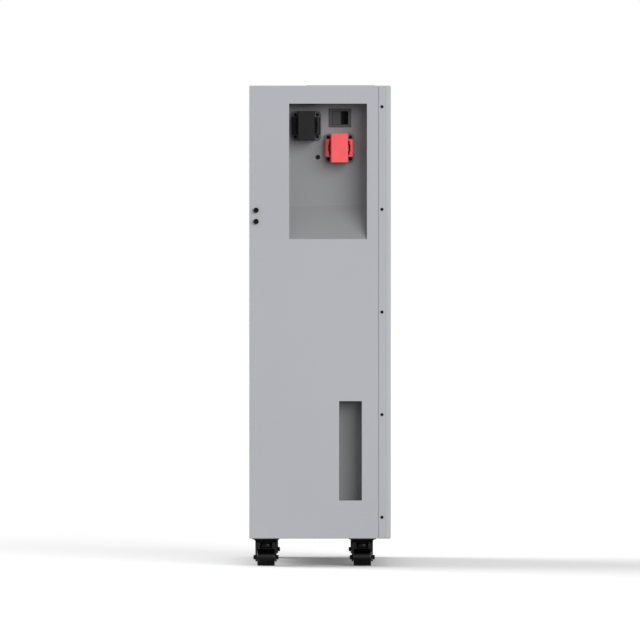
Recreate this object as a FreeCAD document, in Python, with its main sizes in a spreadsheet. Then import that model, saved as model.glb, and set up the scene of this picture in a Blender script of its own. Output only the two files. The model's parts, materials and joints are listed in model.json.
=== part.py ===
import FreeCAD, Part
import math
import os
import re
import Sketcher
from FreeCAD import Vector

# Floor-standing solar battery pack: a folded sheet cabinet on four low casters, with a screwed-on
# front cover, a recessed terminal pocket with two capped terminals and a rocker switch in the left
# side, hand grips in both sides, and a strapped stack of prismatic cells with fuse and battery
# management unit inside. Millimetres. Z up, X across the width, front cover towards -Y, wall side
# +Y, terminal pocket on -X. The origin is on the floor, below the middle of the cabinet.

doc = FreeCAD.newDocument("SolarBatteryPack")
sheet = doc.addObject("Spreadsheet::Sheet", "Sizes")

sizes = [
    # Cabinet
    ("cabinetWidth", 460), ("bodyDepth", 228), ("coverDepth", 22), ("cabinetHeight", 800),
    ("casterHeight", 50), ("sheetThickness", 1.5), ("bendRadius", 2.2),
    ("coverThickness", 1.5), ("coverEdgeRadius", 6.5), ("coverRimRadius", 2), ("seamGap", 0.6),
    ("lipLength", 14), ("lipOverlap", 6), ("lipClearance", 0.3),
    # Countersunk screws of the front cover and the top plate
    ("screwRadius", 1.45), ("screwHoleRadius", 1.65), ("threadHoleRadius", 1.5),
    ("screwLength", 8), ("sinkMargin", 0.1), ("headClearance", 0.15), ("socketWidth", 2),
    ("socketDepth", 0.9), ("coverScrewSetback", 6.3), ("coverScrewPitch", 181.2),
    # Top plate over the service opening
    ("topPlateWidth", 400), ("topPlateDepth", 121), ("topPlateThickness", 2),
    ("topPlateSetback", 5.9), ("topPlateCorner", 4), ("topPlateMargin", 15),
    # Terminal pocket
    ("pocketSetback", 20), ("pocketWidth", 137.5), ("pocketDrop", 32), ("pocketHeight", 239.3),
    ("slopeRise", 61.2), ("pocketDepth", 50), ("pocketSheet", 1.2), ("pocketFlange", 12),
    # Hand grips
    ("gripSetback", 29.1), ("gripWidth", 40), ("gripBottom", 67.3), ("gripHeight", 175.5),
    ("gripDepth", 40), ("gripCornerRadius", 6),
    # Bracket screws, rivet nuts and earth point
    ("bracketSetback", 12.3), ("bracketHeight", 569.9), ("bracketPitch", 20),
    ("capHeadRadius", 4.6), ("capHeadHeight", 5), ("capScrewRadius", 2.45), ("capScrewLength", 10),
    ("capSocket", 4), ("nutBoreRadius", 2.5), ("nutBarrelRadius", 4.3), ("nutHoleRadius", 4.4),
    ("nutFlangeRadius", 5.2), ("nutFlange", 0.5), ("nutLength", 10), ("nutMouth", 1.3),
    ("earthSetback", 106.8), ("earthDrop", 93.2),
    # Terminals
    ("negativeSetback", 127.3), ("negativeDrop", 37.6), ("positiveSetback", 68.7),
    ("positiveDrop", 77.3), ("flangeWidth", 52), ("flangeHeight", 51), ("flangeThickness", 3.5),
    ("flangeCorner", 7), ("flangeScrewSpacing", 39.2), ("counterboreRadius", 3.1),
    ("counterboreDepth", 1.8), ("flangeHoleRadius", 1.7), ("ribHeight", 6), ("ribLength", 30),
    ("ribEdge", 0.5), ("slotWidth", 4.5), ("slotLength", 23), ("chimneyWall", 1.6),
    ("chimneyReach", 12), ("sleeveWidth", 26.4), ("sleeveReach", 8), ("sleeveClearance", 0.3),
    ("postWidth", 20), ("postClearance", 0.1), ("postReach", 10), ("postTail", 20),
    ("capWidth", 30.6), ("capHeight", 51), ("capDrop", 0.5), ("capReach", 32.8), ("capWall", 1.5),
    ("capChamfer", 3.2), ("capGap", 0.3), ("chimneyWidth", "=capWidth-2*(capWall+capGap)"),
    ("chimneyHeight", "=capHeight-2*(capWall+capDrop+capGap)"),
    ("tongueThickness", 1.8), ("tongueWidth", 10), ("tongueLength", 15), ("knockoutRadius", 6),
    ("knockoutDepth", 0.7),
    ("flangeScrewHead", 2.75), ("flangeScrewHeadHeight", 1.6), ("flangeScrewLength", 8),
    # Flange bolts of the terminals and bars
    ("boltRadius", 3.35), ("boltHoleRadius", 3.4), ("boltClearRadius", 4.2), ("boltFlangeRadius", 8.2),
    ("boltFlange", 1.4), ("boltHeadWidth", 13), ("boltHeadHeight", 5.5), ("boltLength", 11),
    ("boltHoleDepth", 15),
    # Rocker switch
    ("switchSetback", 67.4), ("switchDrop", 23.4), ("bezelWidth", 39), ("bezelHeight", 32.7),
    ("bezelProud", 2.2), ("rockerWidth", 27.6), ("rockerHeight", 23.3), ("rockerGap", 0.35),
    ("rockerAngle", 20), ("rockerPivotDepth", 1.8), ("rockerDepth", 8), ("rockerFoot", 20),
    ("switchWall", 1.6), ("switchDepth", 14), ("pinRadius", 1.5), ("pinLength", 1),
    ("pinClearance", 0.05),
    # Cells, tray, clamp plate and straps
    # Cells fill the width between the pockets' backs, the depth, and the height below the headroom
    ("cellLayers", 8), ("cellCorner", 2), ("columnGap", 1), ("insulatorThickness", 0.5),
    ("cellSideGap", 5.5), ("cellFrontGap", 15.5), ("cellRearGap", 4), ("stackHeadroom", 220),
    ("cellWidth", "=cabinetWidth/2-pocketDepth-cellSideGap-columnGap/2"),
    ("cellLength", "=bodyDepth-cellFrontGap-cellRearGap-sheetThickness"),
    ("cellThickness", "=(cabinetHeight-stackHeadroom)/cellLayers-insulatorThickness"),
    ("padInset", 28.25), ("padOffset", "=cellWidth/2-padInset"), ("padRadius", 8),
    ("padHeight", 3), ("linkWidth", 20), ("linkThickness", 2), ("linkOverhang", 9),
    ("trayHeight", 12), ("traySheet", 2), ("trayFoot", 13), ("trayOuterWeb", "=cellWidth-14"),
    ("trayInnerWeb", 25), ("clampThickness", 4), ("strapWidth", 16), ("strapThickness", 0.8),
    ("strapInner", "=cellWidth*0.33"), ("strapOuter", "=cellWidth*0.68"),
    # Fuse, battery management unit and bars
    ("fuseEndGap", 20.25), ("fuseWidth", 36), ("fusePlate", 5), ("fuseSeat", 18), ("fusePost", 24),
    ("bladeWidth", 20), ("bladeThickness", 3), ("fuseBodyRadius", 12), ("fuseBodyGap", 6),
    ("sinkWidth", 190), ("sinkDepth", 116), ("sinkBase", 5), ("finHeight", 17), ("finThickness", 2.5),
    ("finCount", 10), ("sinkOffset", 14), ("boardThickness", 1.6), ("boardBlock", 24),
    ("boardBlockHeight", 9), ("transistorWidth", 10), ("transistorLength", 12),
    ("transistorHeight", 4.5), ("transistorPitch", 16), ("transistorCount", 9), ("barWidth", 20),
    ("barThickness", 3), ("barTail", 12),
    # Casters
    ("casterInset", 45), ("casterRearInset", 29.2), ("casterFrontInset", 50), ("casterPlate", 48),
    ("casterPlateThickness", 2.4), ("casterPlateCorner", 4), ("casterScrewSpacing", 33),
    ("casterScrewRadius", 1.95), ("casterScrewHole", 2.1), ("casterHeadRadius", 3.7),
    ("casterHeadHeight", 2.3), ("casterScrewLength", 8), ("casterNutRadius", 3.9),
    ("casterNutHeight", 3.2), ("casterNutBore", 2), ("raceTop", 7.8), ("raceBottom", 8.4),
    ("raceHeight", 2.4), ("raceGap", 0.2), ("crownThickness", 3.2), ("crownFront", 13),
    ("crownRear", 18), ("crownCorner", 4), ("cupRadius", 11), ("cupDepth", 2.8),
    ("forkWidth", 37.6), ("legThickness", 3), ("legBottom", 7.5), ("legFlange", 4.2),
    ("bridgeThickness", 2.5), ("bridgeGap", 1), ("bridgeFront", 4), ("bridgeRear", 12),
    ("trail", 10), ("wheelRadius", 15),
    ("wheelWidth", 30), ("wheelRecess", 2), ("wheelRecessRadius", 10.5), ("hubRadius", 5.5),
    ("hubReach", 0.4), ("tireChamfer", 1.2), ("axleRadius", 3), ("axleClearance", 0.05),
    ("axleEnd", 22.3), ("axleHead", 4), ("axleHeadGap", 0.1), ("kingpinRadius", 5),
    ("kingpinClearance", 0.05), ("kingpinHead", 10.2), ("kingpinHeadHeight", 4.8), ("kingpinGap", 0.2),
]
for row, (alias, number) in enumerate(sizes, start=1):
    sheet.set(f"A{row}", alias)
    sheet.set(f"B{row}", str(number))
    sheet.setAlias(f"B{row}", alias)
doc.recompute()
aliasPattern = re.compile(r"\b(" + "|".join(alias for alias, number in sizes) + r")\b")
subparts = []
planeNormals = {"XY": "Z", "XZ": "-Y", "YZ": "X"}


def bound(text):
    return aliasPattern.sub(lambda match: "Sizes." + match.group(0), text)


def value(text):
    return float(sheet.evalExpression(bound(text)))


def newBody(name, kept=True):
    body = doc.addObject("PartDesign::Body", name)
    body.Label = name
    if kept:
        subparts.append(body)
    return body


def place(body, x="0", y="0", z="0"):
    for axis, text in (("x", x), ("y", y), ("z", z)):
        body.setExpression("Placement.Base." + axis, bound(text))


def polygon(*corners):
    return ("polygon", corners)


def rectangle(left, right, bottom, top):
    return polygon((left, bottom), (right, bottom), (right, top), (left, top))


def centred(across, up, width, height):
    return rectangle(f"({across})-({width})/2", f"({across})+({width})/2",
                     f"({up})-({height})/2", f"({up})+({height})/2")


def circle(across, up, radius):
    return ("circle", across, up, radius)


def hexagon(across, up, width):
    # Two flats are parallel to the sketch's first axis.
    corners = []
    for corner in range(6):
        turn = math.radians(60 * corner)
        reach = f"({width})/{2 * math.cos(math.radians(30)):.6f}"
        corners.append((f"({across})+{reach}*{math.cos(turn):.6f}",
                        f"({up})+{reach}*{math.sin(turn):.6f}"))
    return polygon(*corners)


def holdPoint(sketch, element, point, across, up):
    for kind, text in (("DistanceX", across), ("DistanceY", up)):
        index = sketch.addConstraint(
            Sketcher.Constraint(kind, -1, 1, element, point, value(text)))
        sketch.setExpression(f"Constraints[{index}]", bound(text))


def drawPolygon(sketch, corners):
    points = [Vector(value(across), value(up), 0) for across, up in corners]
    first = sketch.GeometryCount
    count = len(points)
    for index in range(count):
        sketch.addGeometry(Part.LineSegment(points[index], points[(index + 1) % count]), False)
    for index in range(count):
        following = first + (index + 1) % count
        sketch.addConstraint(Sketcher.Constraint("Coincident", first + index, 2, following, 1))
    for index, (across, up) in enumerate(corners):
        holdPoint(sketch, first + index, 1, across, up)


def drawCircle(sketch, across, up, radius):
    centre = Vector(value(across), value(up), 0)
    ring = sketch.addGeometry(Part.Circle(centre, Vector(0, 0, 1), value(radius)), False)
    holdPoint(sketch, ring, 3, across, up)
    index = sketch.addConstraint(Sketcher.Constraint("Radius", ring, value(radius)))
    sketch.setExpression(f"Constraints[{index}]", bound(radius))


def makeSketch(body, plane, offset, outlines):
    sketch = body.newObject("Sketcher::SketchObject", body.Name + "_outline")
    origin = next(item for item in body.Origin.OriginFeatures if item.Role == plane + "_Plane")
    sketch.AttachmentSupport = [(origin, "")]
    sketch.MapMode = "FlatFace"
    sketch.setExpression("AttachmentOffset.Base.z", bound(offset))
    for outline in outlines:
        if outline[0] == "circle":
            drawCircle(sketch, *outline[1:])
        else:
            drawPolygon(sketch, outline[1])
    return sketch


def extrude(body, plane, start, end, outlines, cut=False):
    # Start and end are coordinates on the plane's own axis, start the lower one.
    before = body.Shape.Volume if body.Tip else 0.0
    offset = f"-({end})" if planeNormals[plane] == "-Y" else start
    sketch = makeSketch(body, plane, offset, outlines)
    kind = "Pocket" if cut else "Pad"
    feature = body.newObject("PartDesign::" + kind, f"{body.Name}_{kind.lower()}")
    feature.Profile = sketch
    feature.Reversed = cut
    feature.setExpression("Length", bound(f"({end})-({start})"))
    doc.recompute()
    change = body.Shape.Volume - before
    if (change >= 0) == cut:
        raise ValueError(f"{feature.Name} changed nothing")
    return feature


def cut(body, plane, start, end, outlines):
    return extrude(body, plane, start, end, outlines, cut=True)


def revolve(body, plane, corners):
    # The profile turns about the sketch's vertical axis.
    sketch = makeSketch(body, plane, "0", [polygon(*corners)])
    feature = body.newObject("PartDesign::Revolution", body.Name + "_turn")
    feature.Profile = sketch
    feature.ReferenceAxis = (sketch, ["V_Axis"])
    doc.recompute()
    return feature


def near(number, texts):
    if isinstance(texts, str):
        texts = [texts]
    return any(abs(number - value(text)) < 0.01 for text in texts)


def edgesAt(along=None, radius=None, x=None, y=None, z=None):
    # Straight edges along an axis, or circles of a radius, whose middle lies at the coordinates.
    def chosen(edge):
        curve = edge.Curve.TypeId
        middle = edge.BoundBox.Center
        if along is not None:
            if curve != "Part::GeomLine":
                return False
            run = edge.tangentAt(edge.FirstParameter)
            if abs(getattr(run, along.lower())) < 0.99:
                return False
        if radius is not None:
            if curve != "Part::GeomCircle" or not near(edge.Curve.Radius, radius):
                return False
        for axis, texts in (("x", x), ("y", y), ("z", z)):
            if texts is not None and not near(getattr(middle, axis), texts):
                return False
        return True
    return chosen


def dress(body, kind, size, chosen):
    base = body.Tip
    names = [f"Edge{index + 1}" for index, edge in enumerate(base.Shape.Edges) if chosen(edge)]
    feature = body.newObject("PartDesign::" + kind, f"{body.Name}_{kind.lower()}")
    feature.Base = (base, names)
    feature.setExpression("Radius" if kind == "Fillet" else "Size", bound(size))
    doc.recompute()
    return feature


def fillet(body, radius, chosen):
    return dress(body, "Fillet", radius, chosen)


def chamfer(body, size, chosen):
    return dress(body, "Chamfer", size, chosen)


def hollow(body, wall, inward, **mouth):
    # Turns the solid into sheet of one wall thickness, open at the mouth's flat face.
    base = body.Tip
    axis, text = next(iter(mouth.items()))
    names = []
    for index, face in enumerate(base.Shape.Faces):
        box = face.BoundBox
        flat = getattr(box, axis.upper() + "Length") < 0.001
        if flat and near(getattr(box.Center, axis), text):
            names.append(f"Face{index + 1}")
    feature = body.newObject("PartDesign::Thickness", body.Name + "_sheet")
    feature.Base = (base, names)
    feature.setExpression("Value", bound(wall))
    feature.Reversed = inward
    feature.Join = "Intersection"
    doc.recompute()
    return feature


# Places worked out from the driving dimensions
halfWidth = "(cabinetWidth/2)"
rearFace = "((bodyDepth+coverDepth)/2)"
frontFace = f"(-{rearFace})"
seamFace = f"({rearFace}-bodyDepth)"
floorLevel = "(casterHeight)"
topLevel = "(casterHeight+cabinetHeight)"
middleLevel = "(casterHeight+cabinetHeight/2)"
innerWidth = f"({halfWidth}-sheetThickness)"
lipOuter = "(coverThickness+lipClearance)"
lipInner = f"({lipOuter}+sheetThickness)"
coverScrewPlace = f"({seamFace}-coverScrewSetback)"
coverScrewLevels = [f"({middleLevel}+({step})*coverScrewPitch)" for step in range(-2, 3)]
sinkDepthScrew = "(sheetThickness-sinkMargin)"
headRadius = f"(screwHoleRadius+{sinkDepthScrew}-2*headClearance)"
topPlateFront = f"({seamFace}+topPlateSetback)"
topPlateRear = f"({topPlateFront}+topPlateDepth)"
topPlateTop = f"({topLevel}+topPlateThickness)"
topScrewPlaces = [(f"({column})*(topPlateWidth/2-topPlateMargin/2)", row)
                  for column in (-1, 0, 1)
                  for row in (f"({topPlateFront}+topPlateMargin/2)", f"({topPlateRear}-topPlateMargin/2)")]
pocketTop = f"({topLevel}-pocketDrop)"
pocketBottom = f"({pocketTop}-pocketHeight)"
pocketBack = f"(-({halfWidth}-pocketDepth))"
pocketFront = f"({seamFace}+pocketSetback)"
pocketRear = f"({pocketFront}+pocketWidth)"
bracketPlace = f"({rearFace}-bracketSetback)"
bracketLevels = [f"({floorLevel}+bracketHeight+({step})*bracketPitch/2)" for step in (-1, 1)]
gripLow = f"({floorLevel}+gripBottom)"
gripHigh = f"({gripLow}+gripHeight)"
gripFrontEdge = f"({seamFace}+gripSetback)"
gripRearEdge = f"({gripFrontEdge}+gripWidth)"
negativeAcross = f"({seamFace}+negativeSetback)"
positiveAcross = f"({seamFace}+positiveSetback)"
terminals = {
    "negative": (negativeAcross, f"({topLevel}-pocketDrop-negativeDrop)"),
    "positive": (positiveAcross, f"({topLevel}-pocketDrop-positiveDrop)"),
}
switchPlace = (f"({seamFace}+switchSetback)", f"({topLevel}-pocketDrop-switchDrop)")
earthPlace = (f"({seamFace}+earthSetback)", f"({topLevel}-pocketDrop-earthDrop)")
flangeScrewPlaces = [(f"({across})*flangeScrewSpacing/2", f"({up})*flangeScrewSpacing/2")
                     for across in (-1, 1) for up in (-1, 1)]
rockerCavity = ("(rockerWidth+2*rockerGap)", "(rockerHeight+2*rockerGap)")
floorTop = f"({floorLevel}+sheetThickness)"
stackBottom = f"({floorTop}+trayHeight)"
cellPitch = "(cellThickness+insulatorThickness)"
stackTop = f"({stackBottom}+cellLayers*{cellPitch}-insulatorThickness)"
clampTop = f"({stackTop}+clampThickness)"
cellRear = f"({rearFace}-sheetThickness-cellRearGap)"
cellFront = f"({cellRear}-cellLength)"
padFront = f"({cellFront}-padHeight)"
columnCentre = "((cellWidth+columnGap)/2)"
stackHalf = "(cellWidth+columnGap/2)"
layerCount = int(value("cellLayers"))
casterPlaces = {
    "rear_left": (f"(-({halfWidth}-casterInset))", f"({rearFace}-casterRearInset)"),
    "rear_right": (f"({halfWidth}-casterInset)", f"({rearFace}-casterRearInset)"),
    "front_left": (f"(-({halfWidth}-casterInset))", f"({frontFace}+casterFrontInset)"),
    "front_right": (f"({halfWidth}-casterInset)", f"({frontFace}+casterFrontInset)"),
}
casterScrewPlaces = [(f"{x}+({across})*casterScrewSpacing/2", f"{y}+({along})*casterScrewSpacing/2")
                     for x, y in casterPlaces.values() for across in (-1, 1) for along in (-1, 1)]
casterPlateLow = f"({floorLevel}-casterPlateThickness)"


def sideSpan(side, inner, outer):
    # A stretch between two distances from the middle plane, on the left (-1) or right (1) side.
    if side < 0:
        return f"-({outer})", f"-({inner})"
    return inner, outer


def screwHoles(body, side):
    outlines = [circle(coverScrewPlace, level, "screwHoleRadius") for level in coverScrewLevels]
    cut(body, "YZ", *sideSpan(side, f"{halfWidth}-coverThickness", halfWidth), outlines)
    rim = f"({side})*{halfWidth}"
    chamfer(body, sinkDepthScrew, edgesAt(radius="screwHoleRadius", x=rim))


def makeCabinetShell():
    body = newBody("cabinet_shell")
    extrude(body, "XY", floorLevel, topLevel,
            [rectangle(f"-{halfWidth}", halfWidth, seamFace, rearFace)])
    fillet(body, "bendRadius", lambda edge: not near(edge.BoundBox.Center.y, seamFace))
    hollow(body, "sheetThickness", True, y=seamFace)

    def frame(inset):
        return rectangle(f"-({halfWidth}-{inset})", f"{halfWidth}-{inset}",
                         f"{floorLevel}+{inset}", f"{topLevel}-{inset}")

    extrude(body, "XZ", seamFace, f"{seamFace}+lipOverlap", [frame("sheetThickness"), frame(lipInner)])
    extrude(body, "XZ", f"{seamFace}-lipLength", seamFace, [frame(lipOuter), frame(lipInner)])
    cut(body, "YZ", f"-{halfWidth}", f"-{innerWidth}",
        [rectangle(pocketFront, pocketRear, pocketBottom, pocketTop)])
    for side in (-1, 1):
        wall = sideSpan(side, innerWidth, halfWidth)
        cut(body, "YZ", *wall, [rectangle(gripFrontEdge, gripRearEdge, gripLow, gripHigh)])
        cut(body, "YZ", *wall, [circle(bracketPlace, level, "nutHoleRadius") for level in bracketLevels])
        cut(body, "YZ", *sideSpan(side, f"{halfWidth}-{lipInner}", f"{halfWidth}-{lipOuter}"),
            [circle(coverScrewPlace, level, "threadHoleRadius") for level in coverScrewLevels])
    cut(body, "XY", floorLevel, floorTop,
        [circle(x, y, "casterScrewHole") for x, y in casterScrewPlaces])
    opening = rectangle("-(topPlateWidth/2-topPlateMargin)", "topPlateWidth/2-topPlateMargin",
                        f"{topPlateFront}+topPlateMargin", f"{topPlateRear}-topPlateMargin")
    threads = [circle(x, y, "threadHoleRadius") for x, y in topScrewPlaces]
    cut(body, "XY", f"{topLevel}-sheetThickness", topLevel, [opening] + threads)


def makeFrontCover():
    body = newBody("front_cover")
    rim = f"({seamFace}-seamGap)"
    extrude(body, "XY", floorLevel, topLevel,
            [rectangle(f"-{halfWidth}", halfWidth, frontFace, rim)])
    fillet(body, "coverEdgeRadius", edgesAt(along="Z", y=frontFace))
    fillet(body, "coverRimRadius", lambda edge: near(edge.BoundBox.Center.z, [floorLevel, topLevel])
           and not near(edge.BoundBox.Center.y, rim))
    hollow(body, "coverThickness", True, y=rim)
    for side in (-1, 1):
        screwHoles(body, side)


def makeTopPlate():
    body = newBody("top_plate")
    extrude(body, "XY", topLevel, topPlateTop,
            [rectangle("-topPlateWidth/2", "topPlateWidth/2", topPlateFront, topPlateRear)])
    fillet(body, "topPlateCorner", edgesAt(along="Z"))
    fillet(body, "topPlateThickness/4", lambda edge: near(edge.BoundBox.Center.z, topPlateTop))
    cut(body, "XY", topLevel, topPlateTop, [circle(x, y, "screwHoleRadius") for x, y in topScrewPlaces])
    chamfer(body, sinkDepthScrew, edgesAt(radius="screwHoleRadius", z=topPlateTop))


def makeCoverScrews():
    # Ten in the cover's sides and six in the top plate, all the same flush screw.
    body = newBody("cover_screws")
    bevel = f"({sinkDepthScrew}-headClearance)"

    def group(plane, heads, shanks, sockets, places, tip):
        extrude(body, plane, *heads, [circle(u, v, headRadius) for u, v in places])
        chamfer(body, bevel, edgesAt(radius=headRadius, **tip))
        extrude(body, plane, *shanks, [circle(u, v, "screwRadius") for u, v in places])
        cut(body, plane, *sockets, [hexagon(u, v, "socketWidth") for u, v in places])

    sidePlaces = [(coverScrewPlace, level) for level in coverScrewLevels]
    headEnd = f"({halfWidth}-{sinkDepthScrew})"
    for side in (-1, 1):
        group("YZ", sideSpan(side, headEnd, halfWidth),
              sideSpan(side, f"{halfWidth}-screwLength", headEnd),
              sideSpan(side, f"{halfWidth}-socketDepth", halfWidth), sidePlaces,
              {"x": f"({side})*{headEnd}"})
    headEnd = f"({topPlateTop}-{sinkDepthScrew})"
    group("XY", (headEnd, topPlateTop), (f"{topPlateTop}-screwLength", headEnd),
          (f"{topPlateTop}-socketDepth", topPlateTop), topScrewPlaces, {"z": headEnd})


def makeTerminalPocket():
    body = newBody("terminal_pocket")
    mouth = f"(-{innerWidth})"
    profile = polygon((mouth, pocketBottom), (pocketBack, f"{pocketBottom}+slopeRise"),
                      (pocketBack, pocketTop), (mouth, pocketTop))
    extrude(body, "XZ", pocketFront, pocketRear, [profile])
    hollow(body, "pocketSheet", False, x=mouth)
    opening = rectangle(pocketFront, pocketRear, pocketBottom, pocketTop)
    border = rectangle(f"{pocketFront}-pocketFlange", f"{pocketRear}+pocketFlange",
                       f"{pocketBottom}-pocketFlange", f"{pocketTop}+pocketFlange")
    extrude(body, "YZ", mouth, f"{mouth}+pocketSheet", [border, opening])
    outlines = [circle(*earthPlace, "nutHoleRadius"),
                centred(*switchPlace, f"{rockerCavity[0]}+2*switchWall+2*sleeveClearance",
                        f"{rockerCavity[1]}+2*switchWall+2*sleeveClearance")]
    for across, up in terminals.values():
        outlines.append(centred(across, up, "sleeveWidth+2*sleeveClearance",
                                "sleeveWidth+2*sleeveClearance"))
        for dy, dz in flangeScrewPlaces:
            outlines.append(circle(f"{across}+{dy}", f"{up}+{dz}", "threadHoleRadius"))
    cut(body, "YZ", pocketBack, f"{pocketBack}+pocketSheet", outlines)


def makeGripPocket(name, side):
    body = newBody(name)
    back = f"({halfWidth}-gripDepth)"
    span = sideSpan(side, back, innerWidth)
    extrude(body, "YZ", *span, [rectangle(gripFrontEdge, gripRearEdge, gripLow, gripHigh)])
    fillet(body, "gripCornerRadius", edgesAt(along="Z", x=f"({side})*{back}"))
    hollow(body, "pocketSheet", False, x=f"({side})*{innerWidth}")
    flange = rectangle(f"{gripFrontEdge}-pocketFlange", f"{gripRearEdge}+pocketFlange",
                       f"{gripLow}-pocketFlange", f"{gripHigh}+pocketFlange")
    extrude(body, "YZ", *sideSpan(side, f"{innerWidth}-pocketSheet", innerWidth),
            [flange, rectangle(gripFrontEdge, gripRearEdge, gripLow, gripHigh)])


def makeRivetNuts():
    # Two in each side wall for the wall bracket, and the open one in the pocket is the earth point.
    body = newBody("rivet_nuts")
    bracketPair = [(bracketPlace, level) for level in bracketLevels]

    def group(side, surface, places):
        extrude(body, "YZ", *sideSpan(side, surface, f"{surface}+nutFlange"),
                [circle(u, v, "nutFlangeRadius") for u, v in places])
        extrude(body, "YZ", *sideSpan(side, f"{surface}-nutLength", surface),
                [circle(u, v, "nutBarrelRadius") for u, v in places])
        cut(body, "YZ", *sideSpan(side, f"{surface}-nutLength", f"{surface}+nutFlange"),
            [circle(u, v, "nutBoreRadius") for u, v in places])

    group(-1, halfWidth, bracketPair)
    group(1, halfWidth, bracketPair)
    group(-1, f"({halfWidth}-pocketDepth)", [earthPlace])
    chamfer(body, "nutMouth", edgesAt(radius="nutBoreRadius", x=f"{pocketBack}-nutFlange"))


def makeBracketScrews():
    body = newBody("bracket_screws")
    places = [(bracketPlace, level) for level in bracketLevels]
    seat = f"({halfWidth}+nutFlange)"
    crown = f"({seat}+capHeadHeight)"
    for side in (-1, 1):
        extrude(body, "YZ", *sideSpan(side, seat, crown),
                [circle(u, v, "capHeadRadius") for u, v in places])
        chamfer(body, "capHeadHeight/10", edgesAt(radius="capHeadRadius", x=f"({side})*{crown}"))
        extrude(body, "YZ", *sideSpan(side, f"{seat}-capScrewLength", seat),
                [circle(u, v, "capScrewRadius") for u, v in places])
        cut(body, "YZ", *sideSpan(side, f"{crown}-capHeadHeight/2", crown),
            [hexagon(u, v, "capSocket") for u, v in places])


def makeTerminal(polarity, across, up):
    # Each piece is drawn about the terminal's centre on the pocket's back wall, outwards along -X.
    rim = "(-flangeThickness)"
    base = newBody(polarity + "_terminal_base")
    extrude(base, "YZ", rim, "0", [centred("0", "0", "flangeWidth", "flangeHeight")])
    fillet(base, "flangeCorner", edgesAt(along="X"))
    extrude(base, "YZ", f"{rim}-chimneyReach", rim,
            [centred("0", "0", "chimneyWidth", "chimneyHeight"),
             centred("0", "0", "chimneyWidth-2*chimneyWall", "chimneyHeight-2*chimneyWall")])
    slotIn = "(capWidth/2+capGap)"
    slotOut = f"({slotIn}+slotWidth)"
    ribOut = "(flangeWidth/2-ribEdge)"
    for side in (-1, 1):
        corners = [(slotIn, "-ribLength/2"), (ribOut, "-ribLength/2"), (ribOut, "ribLength/2"),
                   (slotIn, "ribLength/2"), (slotIn, "slotLength/2"), (slotOut, "slotLength/2"),
                   (slotOut, "-slotLength/2"), (slotIn, "-slotLength/2")]
        extrude(base, "YZ", f"{rim}-ribHeight", rim,
                [polygon(*[(f"({side})*{u}", v) for u, v in corners])])
    extrude(base, "YZ", "0", "sleeveReach", [centred("0", "0", "sleeveWidth", "sleeveWidth")])
    cut(base, "YZ", rim, "sleeveReach",
        [centred("0", "0", "postWidth+2*postClearance", "postWidth+2*postClearance")])
    cut(base, "YZ", rim, f"{rim}+counterboreDepth",
        [circle(u, v, "counterboreRadius") for u, v in flangeScrewPlaces])
    cut(base, "YZ", f"{rim}+counterboreDepth", "0",
        [circle(u, v, "flangeHoleRadius") for u, v in flangeScrewPlaces])

    post = newBody(polarity + "_terminal_post")
    contact = f"({rim}-postReach)"
    tail = "(sleeveReach+postTail)"
    extrude(post, "YZ", contact, tail, [centred("0", "0", "postWidth", "postWidth")])
    chamfer(post, "postClearance*8", edgesAt(along="X"))
    cut(post, "YZ", contact, f"{contact}+boltHoleDepth", [circle("0", "0", "boltHoleRadius")])
    cut(post, "YZ", f"{tail}-boltHoleDepth", tail, [circle("0", "0", "boltHoleRadius")])

    cap = newBody(polarity + "_terminal_cap")
    rear = rim
    front = f"({rear}-capReach)"
    extrude(cap, "YZ", front, rear, [centred("0", "0", "capWidth", "capHeight")])
    chamfer(cap, "capChamfer", edgesAt(along="Z", x=front))
    hollow(cap, "capWall", True, x=rear)
    for side in (-1, 1):
        tongue = rectangle(*sideSpan(side, "capWidth/2", "capWidth/2+tongueThickness"),
                           "-tongueWidth/2", "tongueWidth/2")
        extrude(cap, "YZ", f"{rear}-tongueLength", rear, [tongue])
    cut(cap, "XY", "-capHeight/2", "-capHeight/2+knockoutDepth",
        [circle(f"{rear}-2*knockoutRadius", "0", "knockoutRadius")])
    for body, drop in ((base, "0"), (post, "0"), (cap, "capDrop")):
        place(body, pocketBack, across, f"{up}-{drop}")


def makeTerminalScrews():
    body = newBody("terminal_screws")
    seat = f"({pocketBack}-flangeThickness+counterboreDepth)"
    places = [(f"{across}+{dy}", f"{up}+{dz}")
              for across, up in terminals.values() for dy, dz in flangeScrewPlaces]
    extrude(body, "YZ", f"{seat}-flangeScrewHeadHeight", seat,
            [circle(u, v, "flangeScrewHead") for u, v in places])
    extrude(body, "YZ", seat, f"{seat}+flangeScrewLength",
            [circle(u, v, "screwRadius") for u, v in places])
    cut(body, "YZ", f"{seat}-flangeScrewHeadHeight", f"{seat}-flangeScrewHeadHeight/3",
        [hexagon(u, v, "socketWidth") for u, v in places])


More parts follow.
